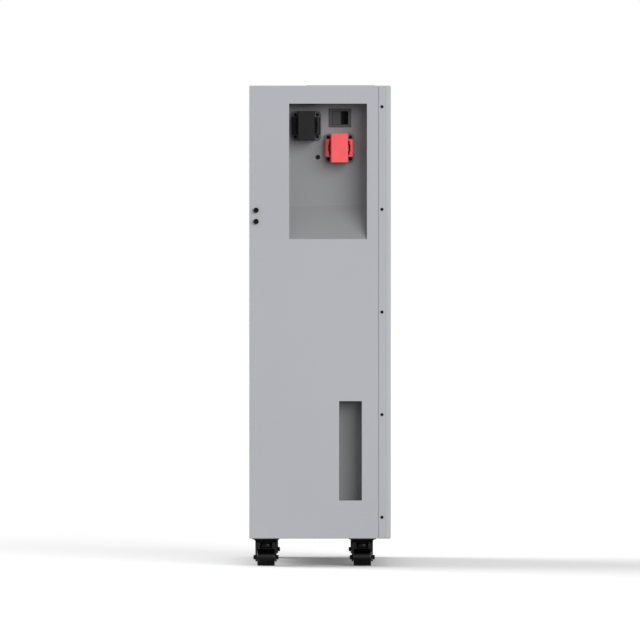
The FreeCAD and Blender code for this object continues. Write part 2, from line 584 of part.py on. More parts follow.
def makeSwitch():
    width, height = rockerCavity
    housing = newBody("switch_housing")
    extrude(housing, "YZ", "-bezelProud", "0", [centred("0", "0", "bezelWidth", "bezelHeight")])
    chamfer(housing, "bezelProud/4", lambda edge: near(edge.BoundBox.Center.x, "-bezelProud"))
    extrude(housing, "YZ", "0", "switchDepth+switchWall",
            [centred("0", "0", f"{width}+2*switchWall", f"{height}+2*switchWall")])
    cut(housing, "YZ", "-bezelProud", "switchDepth", [centred("0", "0", width, height)])
    pivot = "(rockerPivotDepth-bezelProud)"
    socket = [circle(pivot, "0", "pinRadius+pinClearance")]
    cut(housing, "XY", f"-({height}/2+pinLength+rockerGap/2)", f"({height}/2+pinLength+rockerGap/2)",
        socket)

    # The half towards the front of the cabinet is pressed in at rest.
    rocker = newBody("switch_rocker")
    face = "(-bezelProud)"
    profile = polygon((face, "rockerWidth/2"), (face, "0"),
                      (f"{face}+rockerWidth/2*sin(rockerAngle)", "-rockerWidth/2*cos(rockerAngle)"),
                      (f"{face}+rockerPivotDepth+rockerDepth/2", "-rockerWidth/2+1"),
                      (f"{face}+rockerPivotDepth+rockerDepth", "-rockerFoot/2"),
                      (f"{face}+rockerPivotDepth+rockerDepth", "rockerFoot/2"),
                      (f"{face}+rockerPivotDepth+rockerDepth/2", "rockerWidth/2-1"))
    extrude(rocker, "XY", "-rockerHeight/2", "rockerHeight/2", [profile])
    extrude(rocker, "XY", "-rockerHeight/2-pinLength", "rockerHeight/2+pinLength",
            [circle(pivot, "0", "pinRadius")])
    for body in (housing, rocker):
        place(body, pocketBack, *switchPlace)


def makeCellTray():
    body = newBody("cell_tray")
    extrude(body, "XZ", cellFront, cellRear,
            [rectangle(f"-{stackHalf}", stackHalf, f"{stackBottom}-traySheet", stackBottom)])
    webs = []
    for side in (-1, 1):
        for web, turn in (("trayOuterWeb", -1), ("trayInnerWeb", 1)):
            inner = f"({side})*({web})"
            outer = f"({side})*({web}+({turn})*traySheet)"
            toe = f"({side})*({web}+({turn})*trayFoot)"
            webs.append(polygon((inner, floorTop), (toe, floorTop), (toe, f"{floorTop}+traySheet"),
                                (outer, f"{floorTop}+traySheet"), (outer, f"{stackBottom}-traySheet"),
                                (inner, f"{stackBottom}-traySheet")))
    extrude(body, "XZ", cellFront, cellRear, webs)


def makeCell(name):
    # Drawn about the middle of the cell, with its terminals towards the front.
    body = newBody(name, kept=False)
    front = "(-cellLength/2)"
    extrude(body, "XZ", front, "cellLength/2", [centred("0", "0", "cellWidth", "cellThickness")])
    fillet(body, "cellCorner", edgesAt(along="Y"))
    extrude(body, "XZ", f"{front}-padHeight", front,
            [circle(f"({side})*padOffset", "0", "padRadius") for side in (-1, 1)])
    return body


def makeCells():
    for layer in range(layerCount):
        level = f"{stackBottom}+cellThickness/2+{layer}*{cellPitch}"
        pair = []
        for side, column in ((-1, "left"), (1, "right")):
            cell = makeCell(f"cell_{column}_{layer + 1}")
            place(cell, f"({side})*{columnCentre}", f"({cellFront}+{cellRear})/2", level)
            pair.append(cell)
        group = doc.addObject("Part::Compound", f"cell_layer_{layer + 1}")
        group.Label = group.Name
        group.Links = pair
        subparts.append(group)
    insulators = newBody("cell_insulators")
    first = f"({stackBottom}+cellThickness)"
    pad = extrude(insulators, "XY", first, f"{first}+insulatorThickness",
                  [rectangle(f"-{stackHalf}", stackHalf, cellFront, cellRear)])
    pattern = insulators.newObject("PartDesign::LinearPattern", "insulator_levels")
    pattern.Originals = [pad]
    axis = next(item for item in insulators.Origin.OriginFeatures if item.Role == "Z_Axis")
    pattern.Direction = (axis, [""])
    pattern.setExpression("Length", bound(f"(cellLayers-2)*{cellPitch}"))
    pattern.setExpression("Occurrences", bound("cellLayers-1"))
    insulators.Tip = pattern


def makeCellLinks():
    # The cells are joined in one series down the left column and up the right one.
    body = newBody("cell_links")
    outlines = []
    for side in (-1, 1):
        for joint in range(layerCount - 1):
            outward = 1 if (layerCount - 2 - joint) % 2 == 0 else -1
            across = f"({side})*({columnCentre}+({outward})*padOffset)"
            low = f"({stackBottom}+cellThickness/2+{joint}*{cellPitch})"
            outlines.append(rectangle(f"{across}-linkWidth/2", f"{across}+linkWidth/2",
                                      f"{low}-linkOverhang", f"{low}+{cellPitch}+linkOverhang"))
    inner = f"({columnCentre}-padOffset)"
    low = f"({stackBottom}+cellThickness/2)"
    outlines.append(rectangle(f"-({inner}+linkOverhang)", f"{inner}+linkOverhang",
                              f"{low}-linkWidth/2", f"{low}+linkWidth/2"))
    extrude(body, "XZ", f"{padFront}-linkThickness", padFront, outlines)


def makeClampPlate():
    body = newBody("clamp_plate")
    extrude(body, "XY", stackTop, clampTop,
            [rectangle(f"-{stackHalf}", stackHalf, cellFront, cellRear)])
    grooves = [rectangle(f"({side})*{middle}-strapWidth/2", f"({side})*{middle}+strapWidth/2",
                         cellFront, cellRear)
               for side in (-1, 1) for middle in ("strapInner", "strapOuter")]
    cut(body, "XY", f"{clampTop}-strapThickness", clampTop, grooves)


def makeStraps():
    body = newBody("cell_straps")
    low = f"({stackBottom}-traySheet)"
    high = f"({clampTop}-strapThickness)"
    for side in (-1, 1):
        for middle in ("strapInner", "strapOuter"):
            across = f"({side})*{middle}"
            extrude(body, "YZ", f"{across}-strapWidth/2", f"{across}+strapWidth/2",
                    [rectangle(f"{cellFront}-strapThickness", f"{cellRear}+strapThickness",
                               f"{low}-strapThickness", f"{high}+strapThickness"),
                     rectangle(cellFront, cellRear, low, high)])


fuseAcross = positiveAcross
stackPad = f"({columnCentre}-padOffset)"
postTailFace = f"({pocketBack}+sleeveReach+postTail)"
tailFar = f"({postTailFace}+barThickness)"
fuseInner = f"(-{stackPad})"
fuseLow = f"({tailFar}+fuseEndGap)"
fuseHigh = f"({fuseInner}+bladeWidth/2)"
fuseLength = f"({fuseHigh}-{fuseLow})"
fuseMiddle = f"(({fuseHigh}+{fuseLow})/2)"
fuseOuter = f"({fuseLow}+bladeWidth/2)"
fuseBodyHalf = f"({fuseLength}/2-fusePost-fuseBodyGap)"
seatLevel = f"({clampTop}+fuseSeat)"
barLevel = f"({seatLevel}+bladeThickness)"
boardLevel = f"({clampTop}+finHeight+sinkBase)"
blockTop = f"({boardLevel}+boardThickness+boardBlockHeight)"
sinkLeft = "(sinkOffset)"
sinkRight = "(sinkOffset+sinkWidth)"
sinkMiddle = f"(({negativeAcross}+{positiveAcross})/2)"
blockCentre = f"({stackPad})"


def makeFuse():
    base = newBody("fuse_base")
    low = f"({fuseLow}+fusePost)"
    high = f"({fuseHigh}-fusePost)"
    profile = polygon((fuseLow, clampTop), (fuseHigh, clampTop), (fuseHigh, seatLevel),
                      (high, seatLevel), (high, f"{clampTop}+fusePlate"),
                      (low, f"{clampTop}+fusePlate"), (low, seatLevel), (fuseLow, seatLevel))
    extrude(base, "XZ", f"{fuseAcross}-fuseWidth/2", f"{fuseAcross}+fuseWidth/2", [profile])
    holes = [circle(x, fuseAcross, "boltHoleRadius") for x in (fuseInner, fuseOuter)]
    cut(base, "XY", f"{seatLevel}-boltHoleDepth", seatLevel, holes)

    link = newBody("fuse_link")
    extrude(link, "XY", seatLevel, barLevel,
            [centred(fuseMiddle, fuseAcross, fuseLength, "bladeWidth")])
    extrude(link, "YZ", f"{fuseMiddle}-{fuseBodyHalf}", f"{fuseMiddle}+{fuseBodyHalf}",
            [circle(fuseAcross, f"{seatLevel}+bladeThickness/2", "fuseBodyRadius")])
    chamfer(link, "bladeThickness/2", edgesAt(radius="fuseBodyRadius"))
    clear = [circle(x, fuseAcross, "boltClearRadius") for x in (fuseInner, fuseOuter)]
    cut(link, "XY", seatLevel, barLevel, clear)


def makeManagementUnit():
    sink = newBody("bms_heatsink")
    front = f"({sinkMiddle}-sinkDepth/2)"
    rear = f"({sinkMiddle}+sinkDepth/2)"
    extrude(sink, "XY", f"{clampTop}+finHeight", boardLevel, [rectangle(sinkLeft, sinkRight, front, rear)])
    fin = extrude(sink, "XY", clampTop, f"{clampTop}+finHeight",
                  [rectangle(sinkLeft, f"{sinkLeft}+finThickness", front, rear)])
    pattern = sink.newObject("PartDesign::LinearPattern", "sink_fins")
    pattern.Originals = [fin]
    axis = next(item for item in sink.Origin.OriginFeatures if item.Role == "X_Axis")
    pattern.Direction = (axis, [""])
    pattern.setExpression("Length", bound("sinkWidth-finThickness"))
    pattern.setExpression("Occurrences", bound("finCount"))
    sink.Tip = pattern

    board = newBody("bms_board")
    top = f"({boardLevel}+boardThickness)"
    extrude(board, "XY", boardLevel, top, [rectangle(sinkLeft, sinkRight, front, rear)])
    blocks = [centred(blockCentre, across, "boardBlock", "boardBlock")
              for across in (negativeAcross, positiveAcross)]
    extrude(board, "XY", top, blockTop, blocks)
    first = f"({blockCentre}+boardBlock)"
    rows = [centred(f"{first}+{index}*transistorPitch", across, "transistorWidth", "transistorLength")
            for index in range(int(value("transistorCount")))
            for across in (negativeAcross, positiveAcross)]
    extrude(board, "XY", top, f"{top}+transistorHeight", rows)
    holes = [circle(blockCentre, across, "boltHoleRadius")
             for across in (negativeAcross, positiveAcross)]
    cut(board, "XY", boardLevel, blockTop, holes)


def makeBars():
    # From the stack's last pads back over the clamp plate, to the fuse and to the board.
    padLow = f"({stackTop}-cellThickness/2-linkOverhang)"
    padLevel = f"({stackTop}-cellThickness/2)"
    for name, across, level, reach in (
            ("stack_to_fuse_bar", fuseInner, barLevel, fuseAcross),
            ("stack_to_bms_bar", blockCentre, blockTop, positiveAcross)):
        bar = newBody(name)
        outerFace = f"({padFront}-barThickness)"
        end = f"({reach}+barTail)"
        profile = polygon((outerFace, padLow), (padFront, padLow), (padFront, level), (end, level),
                          (end, f"{level}+barThickness"), (outerFace, f"{level}+barThickness"))
        extrude(bar, "YZ", f"{across}-barWidth/2", f"{across}+barWidth/2", [profile])
        cut(bar, "XY", level, f"{level}+barThickness", [circle(across, reach, "boltClearRadius")])
    # From the fuse and the board across to the tails of the two posts.
    for name, polarity, level, reach in (
            ("fuse_to_post_bar", "positive", barLevel, fuseOuter),
            ("bms_to_post_bar", "negative", blockTop, blockCentre)):
        across, up = terminals[polarity]
        bar = newBody(name)
        end = f"({reach}+barTail)"
        profile = polygon((postTailFace, f"{up}+barTail"), (postTailFace, level), (end, level),
                          (end, f"{level}+barThickness"), (tailFar, f"{level}+barThickness"),
                          (tailFar, f"{up}+barTail"))
        extrude(bar, "XZ", f"{across}-barWidth/2", f"{across}+barWidth/2", [profile])
        cut(bar, "XY", level, f"{level}+barThickness", [circle(reach, across, "boltClearRadius")])
        cut(bar, "YZ", postTailFace, tailFar, [circle(across, up, "boltClearRadius")])


def makeFlangeBolts():
    # One under each terminal cap, one at the tail of each post, and four down into fuse and board.
    body = newBody("flange_bolts")
    contact = f"({pocketBack}-flangeThickness-postReach)"
    outside = list(terminals.values())

    def stack(plane, seat, outward, places):
        def span(low, high):
            if outward > 0:
                return f"{seat}+{low}", f"{seat}+{high}"
            return f"{seat}-({high})", f"{seat}-({low})"
        extrude(body, plane, *span("0", "boltFlange"),
                [circle(u, v, "boltFlangeRadius") for u, v in places])
        extrude(body, plane, *span("boltFlange", "boltFlange+boltHeadHeight"),
                [hexagon(u, v, "boltHeadWidth") for u, v in places])
        if outward > 0:
            shank = (f"{seat}-boltLength", seat)
        else:
            shank = (seat, f"{seat}+boltLength")
        extrude(body, plane, *shank, [circle(u, v, "boltRadius") for u, v in places])

    stack("YZ", contact, -1, outside)
    stack("YZ", tailFar, 1, outside)
    stack("XY", f"({barLevel}+barThickness)", 1, [(x, fuseAcross) for x in (fuseInner, fuseOuter)])
    stack("XY", f"({blockTop}+barThickness)", 1,
          [(blockCentre, across) for across in (negativeAcross, positiveAcross)])


def makeCasterFasteners():
    screws = newBody("caster_screws")
    nuts = newBody("caster_nuts")
    extrude(screws, "XY", f"{casterPlateLow}-casterHeadHeight", casterPlateLow,
            [circle(x, y, "casterHeadRadius") for x, y in casterScrewPlaces])
    fillet(screws, "casterHeadHeight/3",
           edgesAt(radius="casterHeadRadius", z=f"{casterPlateLow}-casterHeadHeight"))
    extrude(screws, "XY", casterPlateLow, f"{casterPlateLow}+casterScrewLength",
            [circle(x, y, "casterScrewRadius") for x, y in casterScrewPlaces])
    cut(screws, "XY", f"{casterPlateLow}-casterHeadHeight", f"{casterPlateLow}-casterHeadHeight/2",
        [hexagon(x, y, "socketWidth") for x, y in casterScrewPlaces])
    rings = []
    for x, y in casterScrewPlaces:
        rings += [circle(x, y, "casterNutRadius"), circle(x, y, "casterNutBore")]
    extrude(nuts, "XY", floorTop, f"{floorTop}+casterNutHeight", rings)
    kingpins = newBody("caster_kingpins")
    cupLow = f"({casterPlateLow}-raceHeight-raceGap-crownThickness-cupDepth)"
    headTop = f"({cupLow}-kingpinGap)"
    centres = list(casterPlaces.values())
    extrude(kingpins, "XY", f"{headTop}-kingpinHeadHeight", headTop,
            [circle(x, y, "kingpinHead") for x, y in centres])
    fillet(kingpins, "kingpinHeadHeight/5", edgesAt(radius="kingpinHead"))
    extrude(kingpins, "XY", headTop, floorLevel, [circle(x, y, "kingpinRadius") for x, y in centres])


def makeCaster(name, x, y):
    # Drawn about the swivel axis on the floor; the wheel trails along X.
    plate = newBody(f"caster_plate_{name}")
    extrude(plate, "XY", casterPlateLow, floorLevel, [centred("0", "0", "casterPlate", "casterPlate")])
    fillet(plate, "casterPlateCorner", edgesAt(along="Z"))
    raceLow = f"({casterPlateLow}-raceHeight)"
    bore = "(kingpinRadius+kingpinClearance)"
    revolve(plate, "XZ", [(bore, raceLow), ("raceBottom", raceLow), ("raceTop", casterPlateLow),
                          (bore, casterPlateLow)])
    holes = [circle(f"({across})*casterScrewSpacing/2", f"({along})*casterScrewSpacing/2",
                    "casterScrewHole") for across in (-1, 1) for along in (-1, 1)]
    cut(plate, "XY", casterPlateLow, floorLevel, holes + [circle("0", "0", bore)])

    fork = newBody(f"caster_fork_{name}")
    crownTop = f"({raceLow}-raceGap)"
    crownLow = f"({crownTop}-crownThickness)"
    outer = "(forkWidth/2)"
    inner = "(forkWidth/2-legThickness)"
    extrude(fork, "XY", crownLow, crownTop, [rectangle("-crownFront", "crownRear", f"-{outer}", outer)])
    fillet(fork, "crownCorner", edgesAt(along="Z", x="crownRear"))
    legRear = "(crownRear-crownCorner)"
    leg = polygon(("-crownFront", crownTop), ("-crownFront", crownLow),
                  ("trail-legBottom", "wheelRadius"), ("trail+legBottom", "wheelRadius"),
                  (legRear, crownLow), (legRear, crownTop))
    # The front edge of each leg is turned in, from the crown down to the top of the wheel.
    flangeLow = "(2*wheelRadius)"
    slant = f"((trail-legBottom+crownFront)/({crownLow}-wheelRadius))"
    flangeFront = f"(({crownLow}-{flangeLow})*{slant}-crownFront)"
    flange = polygon(("-crownFront", crownLow), (flangeFront, flangeLow),
                     (f"{flangeFront}+legThickness", flangeLow),
                     ("legThickness-crownFront", crownLow))
    for side in (-1, 1):
        extrude(fork, "XZ", *sideSpan(side, inner, outer), [leg])
        extrude(fork, "XZ", *sideSpan(side, inner, outer), [circle("trail", "wheelRadius", "legBottom")])
        extrude(fork, "XZ", *sideSpan(side, f"({inner}-legFlange)", inner), [flange])
    extrude(fork, "XY", f"{crownLow}-cupDepth", crownLow, [circle("0", "0", "cupRadius")])
    bridgeLow = "(2*wheelRadius+bridgeGap)"
    extrude(fork, "XY", bridgeLow, f"{bridgeLow}+bridgeThickness",
            [rectangle("-bridgeFront", "bridgeRear", f"-{inner}", inner)])
    cut(fork, "XY", f"{crownLow}-cupDepth", crownTop, [circle("0", "0", bore)])
    cut(fork, "XZ", f"-{outer}", outer, [circle("trail", "wheelRadius", "axleRadius+axleClearance")])

    axle = newBody(f"caster_axle_{name}")
    shoulder = f"({outer}+axleHeadGap)"
    extrude(axle, "XZ", f"-{shoulder}", shoulder, [circle("trail", "wheelRadius", "axleRadius")])
    for side in (-1, 1):
        extrude(axle, "XZ", *sideSpan(side, shoulder, "axleEnd"),
                [circle("trail", "wheelRadius", "axleHead")])
    chamfer(axle, "axleHead/8", edgesAt(radius="axleHead", y=["-axleEnd", "axleEnd"]))

    wheel = newBody(f"caster_wheel_{name}")
    half = "(wheelWidth/2)"
    extrude(wheel, "XZ", f"-{half}", half, [circle("trail", "wheelRadius", "wheelRadius")])
    chamfer(wheel, "tireChamfer", edgesAt(radius="wheelRadius"))
    for side in (-1, 1):
        cut(wheel, "XZ", *sideSpan(side, f"{half}-wheelRecess", half),
            [circle("trail", "wheelRadius", "wheelRecessRadius")])
    hub = f"({half}+hubReach)"
    for side in (-1, 1):
        extrude(wheel, "XZ", *sideSpan(side, f"{half}-wheelRecess", hub),
                [circle("trail", "wheelRadius", "hubRadius")])
    cut(wheel, "XZ", f"-{hub}", hub, [circle("trail", "wheelRadius", "axleRadius+axleClearance")])
    for body in (plate, fork, axle, wheel):
        place(body, x, y)


makeCabinetShell()
makeFrontCover()
makeTopPlate()
makeCoverScrews()
makeTerminalPocket()
makeGripPocket("grip_pocket_left", -1)
makeGripPocket("grip_pocket_right", 1)
makeRivetNuts()
makeBracketScrews()
for polarity, (across, up) in terminals.items():
    makeTerminal(polarity, across, up)
makeTerminalScrews()
makeSwitch()
makeCellTray()
makeCells()
makeCellLinks()
makeClampPlate()
makeStraps()
makeFuse()
makeManagementUnit()
makeBars()
makeFlangeBolts()
makeCasterFasteners()
for name, (x, y) in casterPlaces.items():
    makeCaster(name, x, y)
doc.recompute()

for item in doc.Objects:
    if "Invalid" in item.State or "Error" in item.State:
        raise ValueError(f"{item.Name} did not compute")
for item in subparts:
    if item.Shape.isNull() or not item.Shape.isValid() or not item.Shape.Solids:
        raise ValueError(f"{item.Label} has no sound shape")
os.makedirs("parts", exist_ok=True)
for item in subparts:
    item.Shape.exportStep(f"parts/{item.Label}.step")
print(f"{len(subparts)} sub-parts written")
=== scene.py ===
import bpy
import json
import math
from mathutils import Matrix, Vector


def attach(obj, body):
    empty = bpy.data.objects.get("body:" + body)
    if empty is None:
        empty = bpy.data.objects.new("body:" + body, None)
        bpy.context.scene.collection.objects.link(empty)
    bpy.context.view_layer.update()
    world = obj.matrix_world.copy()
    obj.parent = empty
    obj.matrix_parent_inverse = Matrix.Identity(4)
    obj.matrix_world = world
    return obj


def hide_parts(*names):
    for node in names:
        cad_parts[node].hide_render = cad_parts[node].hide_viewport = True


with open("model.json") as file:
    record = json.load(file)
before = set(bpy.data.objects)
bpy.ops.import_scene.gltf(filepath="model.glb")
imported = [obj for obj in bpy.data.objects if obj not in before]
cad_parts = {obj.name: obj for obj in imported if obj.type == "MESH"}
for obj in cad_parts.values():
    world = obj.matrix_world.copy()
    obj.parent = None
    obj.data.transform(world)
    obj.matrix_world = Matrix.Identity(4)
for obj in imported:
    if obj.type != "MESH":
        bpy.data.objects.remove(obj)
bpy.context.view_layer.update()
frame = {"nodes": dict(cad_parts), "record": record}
mm = 0.001
near = 0.1  # how far off its place a face, edge or point may lie and still be picked

# Small tools for modelling, all sizes in millimetres

axisTurns = {"X": (0, math.pi / 2, 0), "Y": (math.pi / 2, 0, 0), "Z": (0, 0, 0)}


def toMetres(values):
    return [value * mm for value in values]


def deselectAll():
    bpy.ops.object.select_all(action="DESELECT")


def choose(piece):
    deselectAll()
    piece.select_set(True)
    bpy.context.view_layer.objects.active = piece


def applyPlace(piece):
    choose(piece)
    bpy.ops.object.transform_apply(location=True, rotation=True, scale=True)


def placePiece(piece, place):
    piece.location = toMetres(place)
    applyPlace(piece)


def nameLast(name):
    piece = bpy.context.object
    piece.name = name
    piece.data.name = name
    applyPlace(piece)
    return piece


def addBox(name, low, high):
    deselectAll()
    size = [(b - a) * mm for a, b in zip(low, high)]
    middle = [(a + b) / 2 * mm for a, b in zip(low, high)]
    bpy.ops.mesh.primitive_cube_add(size=1, location=middle, scale=size)
    return nameLast(name)


def addRod(name, axis, middle, radius, length, sides=48):
    deselectAll()
    bpy.ops.mesh.primitive_cylinder_add(vertices=sides, radius=radius * mm, depth=length * mm,
                                        location=toMetres(middle), rotation=axisTurns[axis])
    return nameLast(name)


def addCone(name, axis, middle, lowRadius, highRadius, length, sides=48):
    deselectAll()
    bpy.ops.mesh.primitive_cone_add(vertices=sides, radius1=lowRadius * mm, radius2=highRadius * mm,
                                    depth=length * mm, location=toMetres(middle),
                                    rotation=axisTurns[axis])
    return nameLast(name)


def sideSpan(side, inner, outer):
    # The low and high end of a span to the left (-1) or the right (1) of the middle.
    return sorted((side * inner, side * outer))


def along(part):
    # True for a run or normal on that axis, whichever way it points.
    return abs(part) > 0.99


def across(part):
    return abs(part) < 0.01


def faces(part):
    # True for a normal that points that way.
    return part > 0.99


def pick(piece, kind, test):
    # Faces are tested by middle and normal, edges by middle and run, points by place.
    choose(piece)
    bpy.context.tool_settings.mesh_select_mode = (kind == "POINT", kind == "EDGE", kind == "FACE")
    bpy.ops.object.mode_set(mode="EDIT")
    bpy.ops.mesh.select_all(action="DESELECT")
    bpy.ops.object.mode_set(mode="OBJECT")
    mesh = piece.data
    if kind == "FACE":
        for face in mesh.polygons:
            face.select = test(face.center / mm, face.normal)
    elif kind == "EDGE":
        for edge in mesh.edges:
            start, end = (mesh.vertices[index].co / mm for index in edge.vertices)
            edge.select = test((start + end) / 2, (end - start).normalized())
    else:
        for point in mesh.vertices:
            point.select = test(point.co / mm)
    bpy.ops.object.mode_set(mode="EDIT")


def leaveEdit():
    bpy.ops.object.mode_set(mode="OBJECT")


def extrudePicked(x=0, y=0, z=0):
    bpy.ops.mesh.extrude_region_move(TRANSFORM_OT_translate={"value": (x * mm, y * mm, z * mm)})


def insetPicked(width):
    bpy.ops.mesh.inset(thickness=width * mm)


def resizePicked(x=1, y=1, z=1):
    bpy.ops.transform.resize(value=(x, y, z))


def movePicked(x=0, y=0, z=0):
    bpy.ops.transform.translate(value=(x * mm, y * mm, z * mm))
    leaveEdit()


def bevelPicked(width, steps):
    bpy.ops.mesh.bevel(offset=width * mm, segments=steps, affect="EDGES")
    leaveEdit()


def deletePicked():
    bpy.ops.mesh.delete(type="FACE")
    leaveEdit()


def applyModifier(piece, modifier):
    choose(piece)
    bpy.ops.object.modifier_apply(modifier=modifier.name)


def addWall(piece, thickness, outward=False):
    modifier = piece.modifiers.new("wall", "SOLIDIFY")
    modifier.thickness = thickness * mm
    modifier.offset = 1 if outward else -1
    modifier.use_even_offset = True
    applyModifier(piece, modifier)


def combine(piece, others, operation):
    for other in others:
        modifier = piece.modifiers.new("combine", "BOOLEAN")
        modifier.operation = operation
        modifier.solver = "EXACT"
        modifier.object = other
        applyModifier(piece, modifier)
        bpy.data.objects.remove(other)


def cutWith(piece, cutters):
    combine(piece, cutters, "DIFFERENCE")


def fuseWith(piece, others):
    combine(piece, others, "UNION")


def softenEdges(piece, width, steps=2, angle=35):
    modifier = piece.modifiers.new("soft", "BEVEL")
    modifier.width = width * mm
    modifier.segments = steps
    modifier.limit_method = "ANGLE"
    modifier.angle_limit = math.radians(angle)
    modifier.use_clamp_overlap = True
    applyModifier(piece, modifier)
    choose(piece)
    bpy.ops.object.shade_smooth_by_angle(angle=math.radians(angle))
    flatter = piece.modifiers.new("flatter", "WEIGHTED_NORMAL")
    flatter.keep_sharp = True
    applyModifier(piece, flatter)


def joinPieces(name, pieces):
    deselectAll()
    for piece in pieces:
        piece.select_set(True)
    bpy.context.view_layer.objects.active = pieces[0]
    bpy.ops.object.join()
    piece = bpy.context.object
    piece.name = name
    piece.data.name = name
    return piece


def copyPiece(source, name, place, turn=(0, 0, 0)):
    choose(source)
    bpy.ops.object.duplicate()
    copy = bpy.context.object
    copy.location = toMetres(place)
    copy.rotation_euler = [math.radians(value) for value in turn]
    return nameLast(name)


def copyToSides(source, name, reach, places):
    # The source points up; its copies stand on the left and right wall and point outwards.
    return [copyPiece(source, name, (side * reach, y, z), (0, side * 90, 0))
            for side in (-1, 1) for y, z in places]


def settle(piece, body, nodes, material=None):
    # Without a material the piece keeps those that its parts came with.
    if material:
        piece.data.materials.clear()
        piece.data.materials.append(material)
    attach(piece, body)
    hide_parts(*nodes)


def settleCopies(source, copies, name, node, material):
    bpy.data.objects.remove(source)
    settle(joinPieces(name, copies), "cabinet", [node], material)


# Finishes, each drawn on the piece's own coordinates

noiseLow, noiseHigh = 0.3, 0.7  # most values of a noise texture lie between these


class Finish:
    def __init__(self, name, roughness, metallic=0.0, specular=0.5):
        self.material = bpy.data.materials.new(name)
        self.material.use_nodes = True
        self.nodes = self.material.node_tree.nodes
        self.links = self.material.node_tree.links
        self.shader = self.nodes["Principled BSDF"]
        self.shader.inputs["Roughness"].default_value = roughness
        self.shader.inputs["Metallic"].default_value = metallic
        self.shader.inputs["Specular IOR Level"].default_value = specular
        self.place = self.nodes.new("ShaderNodeTexCoord").outputs["Object"]

    def stretch(self, x, y, z):
        mapping = self.nodes.new("ShaderNodeMapping")
        mapping.inputs["Scale"].default_value = (x, y, z)
        self.links.new(self.place, mapping.inputs["Vector"])
        return mapping.outputs["Vector"]

    def noise(self, scale, detail=2, place=None):
        node = self.nodes.new("ShaderNodeTexNoise")
        node.inputs["Scale"].default_value = scale
        node.inputs["Detail"].default_value = detail
        self.links.new(place or self.place, node.inputs["Vector"])
        return node.outputs["Fac"]

    def ramp(self, value, stops):
        node = self.nodes.new("ShaderNodeValToRGB")
        elements = node.color_ramp.elements
        for index, (position, color) in enumerate(stops):
            element = elements[index] if index < len(elements) else elements.new(position)
            element.position = position
            element.color = (*color, 1)
        self.links.new(value, node.inputs["Fac"])
        return node.outputs["Color"]

    def tint(self, value, stops):
        self.links.new(self.ramp(value, stops), self.shader.inputs["Base Color"])

    def shine(self, value, low, high):
        node = self.nodes.new("ShaderNodeMapRange")
        node.inputs["From Min"].default_value = noiseLow
        node.inputs["From Max"].default_value = noiseHigh
        node.inputs["To Min"].default_value = low
        node.inputs["To Max"].default_value = high
        self.links.new(value, node.inputs["Value"])
        self.links.new(node.outputs["Result"], self.shader.inputs["Roughness"])

    def bump(self, value, strength, depth):
        node = self.nodes.new("ShaderNodeBump")
        node.inputs["Strength"].default_value = strength
        node.inputs["Distance"].default_value = depth * mm
        self.links.new(value, node.inputs["Height"])
        earlier = self.shader.inputs["Normal"].links
        if earlier:
            self.links.new(earlier[0].from_socket, node.inputs["Normal"])
        self.links.new(node.outputs["Normal"], self.shader.inputs["Normal"])


def shades(color, spread):
    # The same colour a little darker and a little lighter.
    dark = tuple(value * (1 - spread) for value in color)
    light = tuple(min(1.0, value * (1 + spread)) for value in color)
    return [(noiseLow, dark), (noiseHigh, light)]


def powderCoat(name, color):
    finish = Finish(name, roughness=0.55)
    finish.tint(finish.noise(scale=4, detail=3), shades(color, spread=0.02))
    finish.shine(finish.noise(scale=160), low=0.5, high=0.6)
    finish.bump(finish.noise(scale=900, detail=3), strength=0.3, depth=0.08)
    finish.bump(finish.noise(scale=260, detail=1), strength=0.15, depth=0.12)
    return finish.material


def mouldedPlastic(name, color, roughness, grain=0.25, specular=0.2):
    finish = Finish(name, roughness, specular=specular)
    finish.tint(finish.noise(scale=60, detail=3), shades(color, spread=0.06))
    finish.shine(finish.noise(scale=900), low=roughness - 0.06, high=roughness + 0.06)
    finish.bump(finish.noise(scale=2600), strength=grain, depth=0.05)
    return finish.material


def metalFinish(name, color, roughness, grainScale=(300, 300, 300), spread=0.08, metallic=1.0):
    finish = Finish(name, roughness, metallic, specular=0.3)
    grain = finish.noise(scale=1, detail=3, place=finish.stretch(*grainScale))
    finish.tint(finish.noise(scale=90, detail=3), shades(color, spread))
    finish.shine(grain, low=roughness - 0.08, high=roughness + 0.1)
    finish.bump(grain, strength=0.15, depth=0.04)
    return finish.material


def cellWrap(name, color):
    finish = Finish(name, roughness=0.35)
    finish.tint(finish.noise(scale=25, detail=4), shades(color, spread=0.1))
    finish.bump(finish.noise(scale=70, detail=3), strength=0.25, depth=0.3)
    return finish.material


def boardMask(name, color, traceColor):
    finish = Finish(name, roughness=0.4)
    traces = finish.noise(scale=500, detail=1, place=finish.stretch(1, 0.12, 1))
    finish.tint(traces, [(0.45, color), (0.55, traceColor)])
    finish.bump(traces, strength=0.3, depth=0.05)
    return finish.material


colors = {
    "cabinet": (0.456, 0.462, 0.491),
    # painted shade: the terminal pocket's recess gets a darker grey than the cabinet's paint
    "pocket": (0.275, 0.279, 0.291),
    # painted shade: the grip recesses get a darker grey than the cabinet's paint
    "grip": (0.235, 0.238, 0.249),
    "black": (0.012, 0.012, 0.0125),
    "red": (0.99, 0.126, 0.14),
    "darkFlange": (0.11, 0.11, 0.112),
    "greyFlange": (0.22, 0.205, 0.207),
    "bezel": (0.095, 0.095, 0.097),
    "rocker": (0.095, 0.095, 0.096),
    "casterFork": (0.02, 0.02, 0.021),
    # painted light: the plate's black is a lighter copy of the fork's, for the light on its edge
    "casterPlate": (0.036, 0.036, 0.037),
    "wheel": (0.002, 0.002, 0.0021),
    "screw": (0.006, 0.006, 0.0065),
    "rivetNut": (0.05, 0.05, 0.051),
    "kingpin": (0.004, 0.004, 0.0042),
    # painted shade: near-black for the shaded middle of each caster fork
    "coreShade": (0.003, 0.003, 0.0031),
    "insert": (0.13, 0.13, 0.132),
}
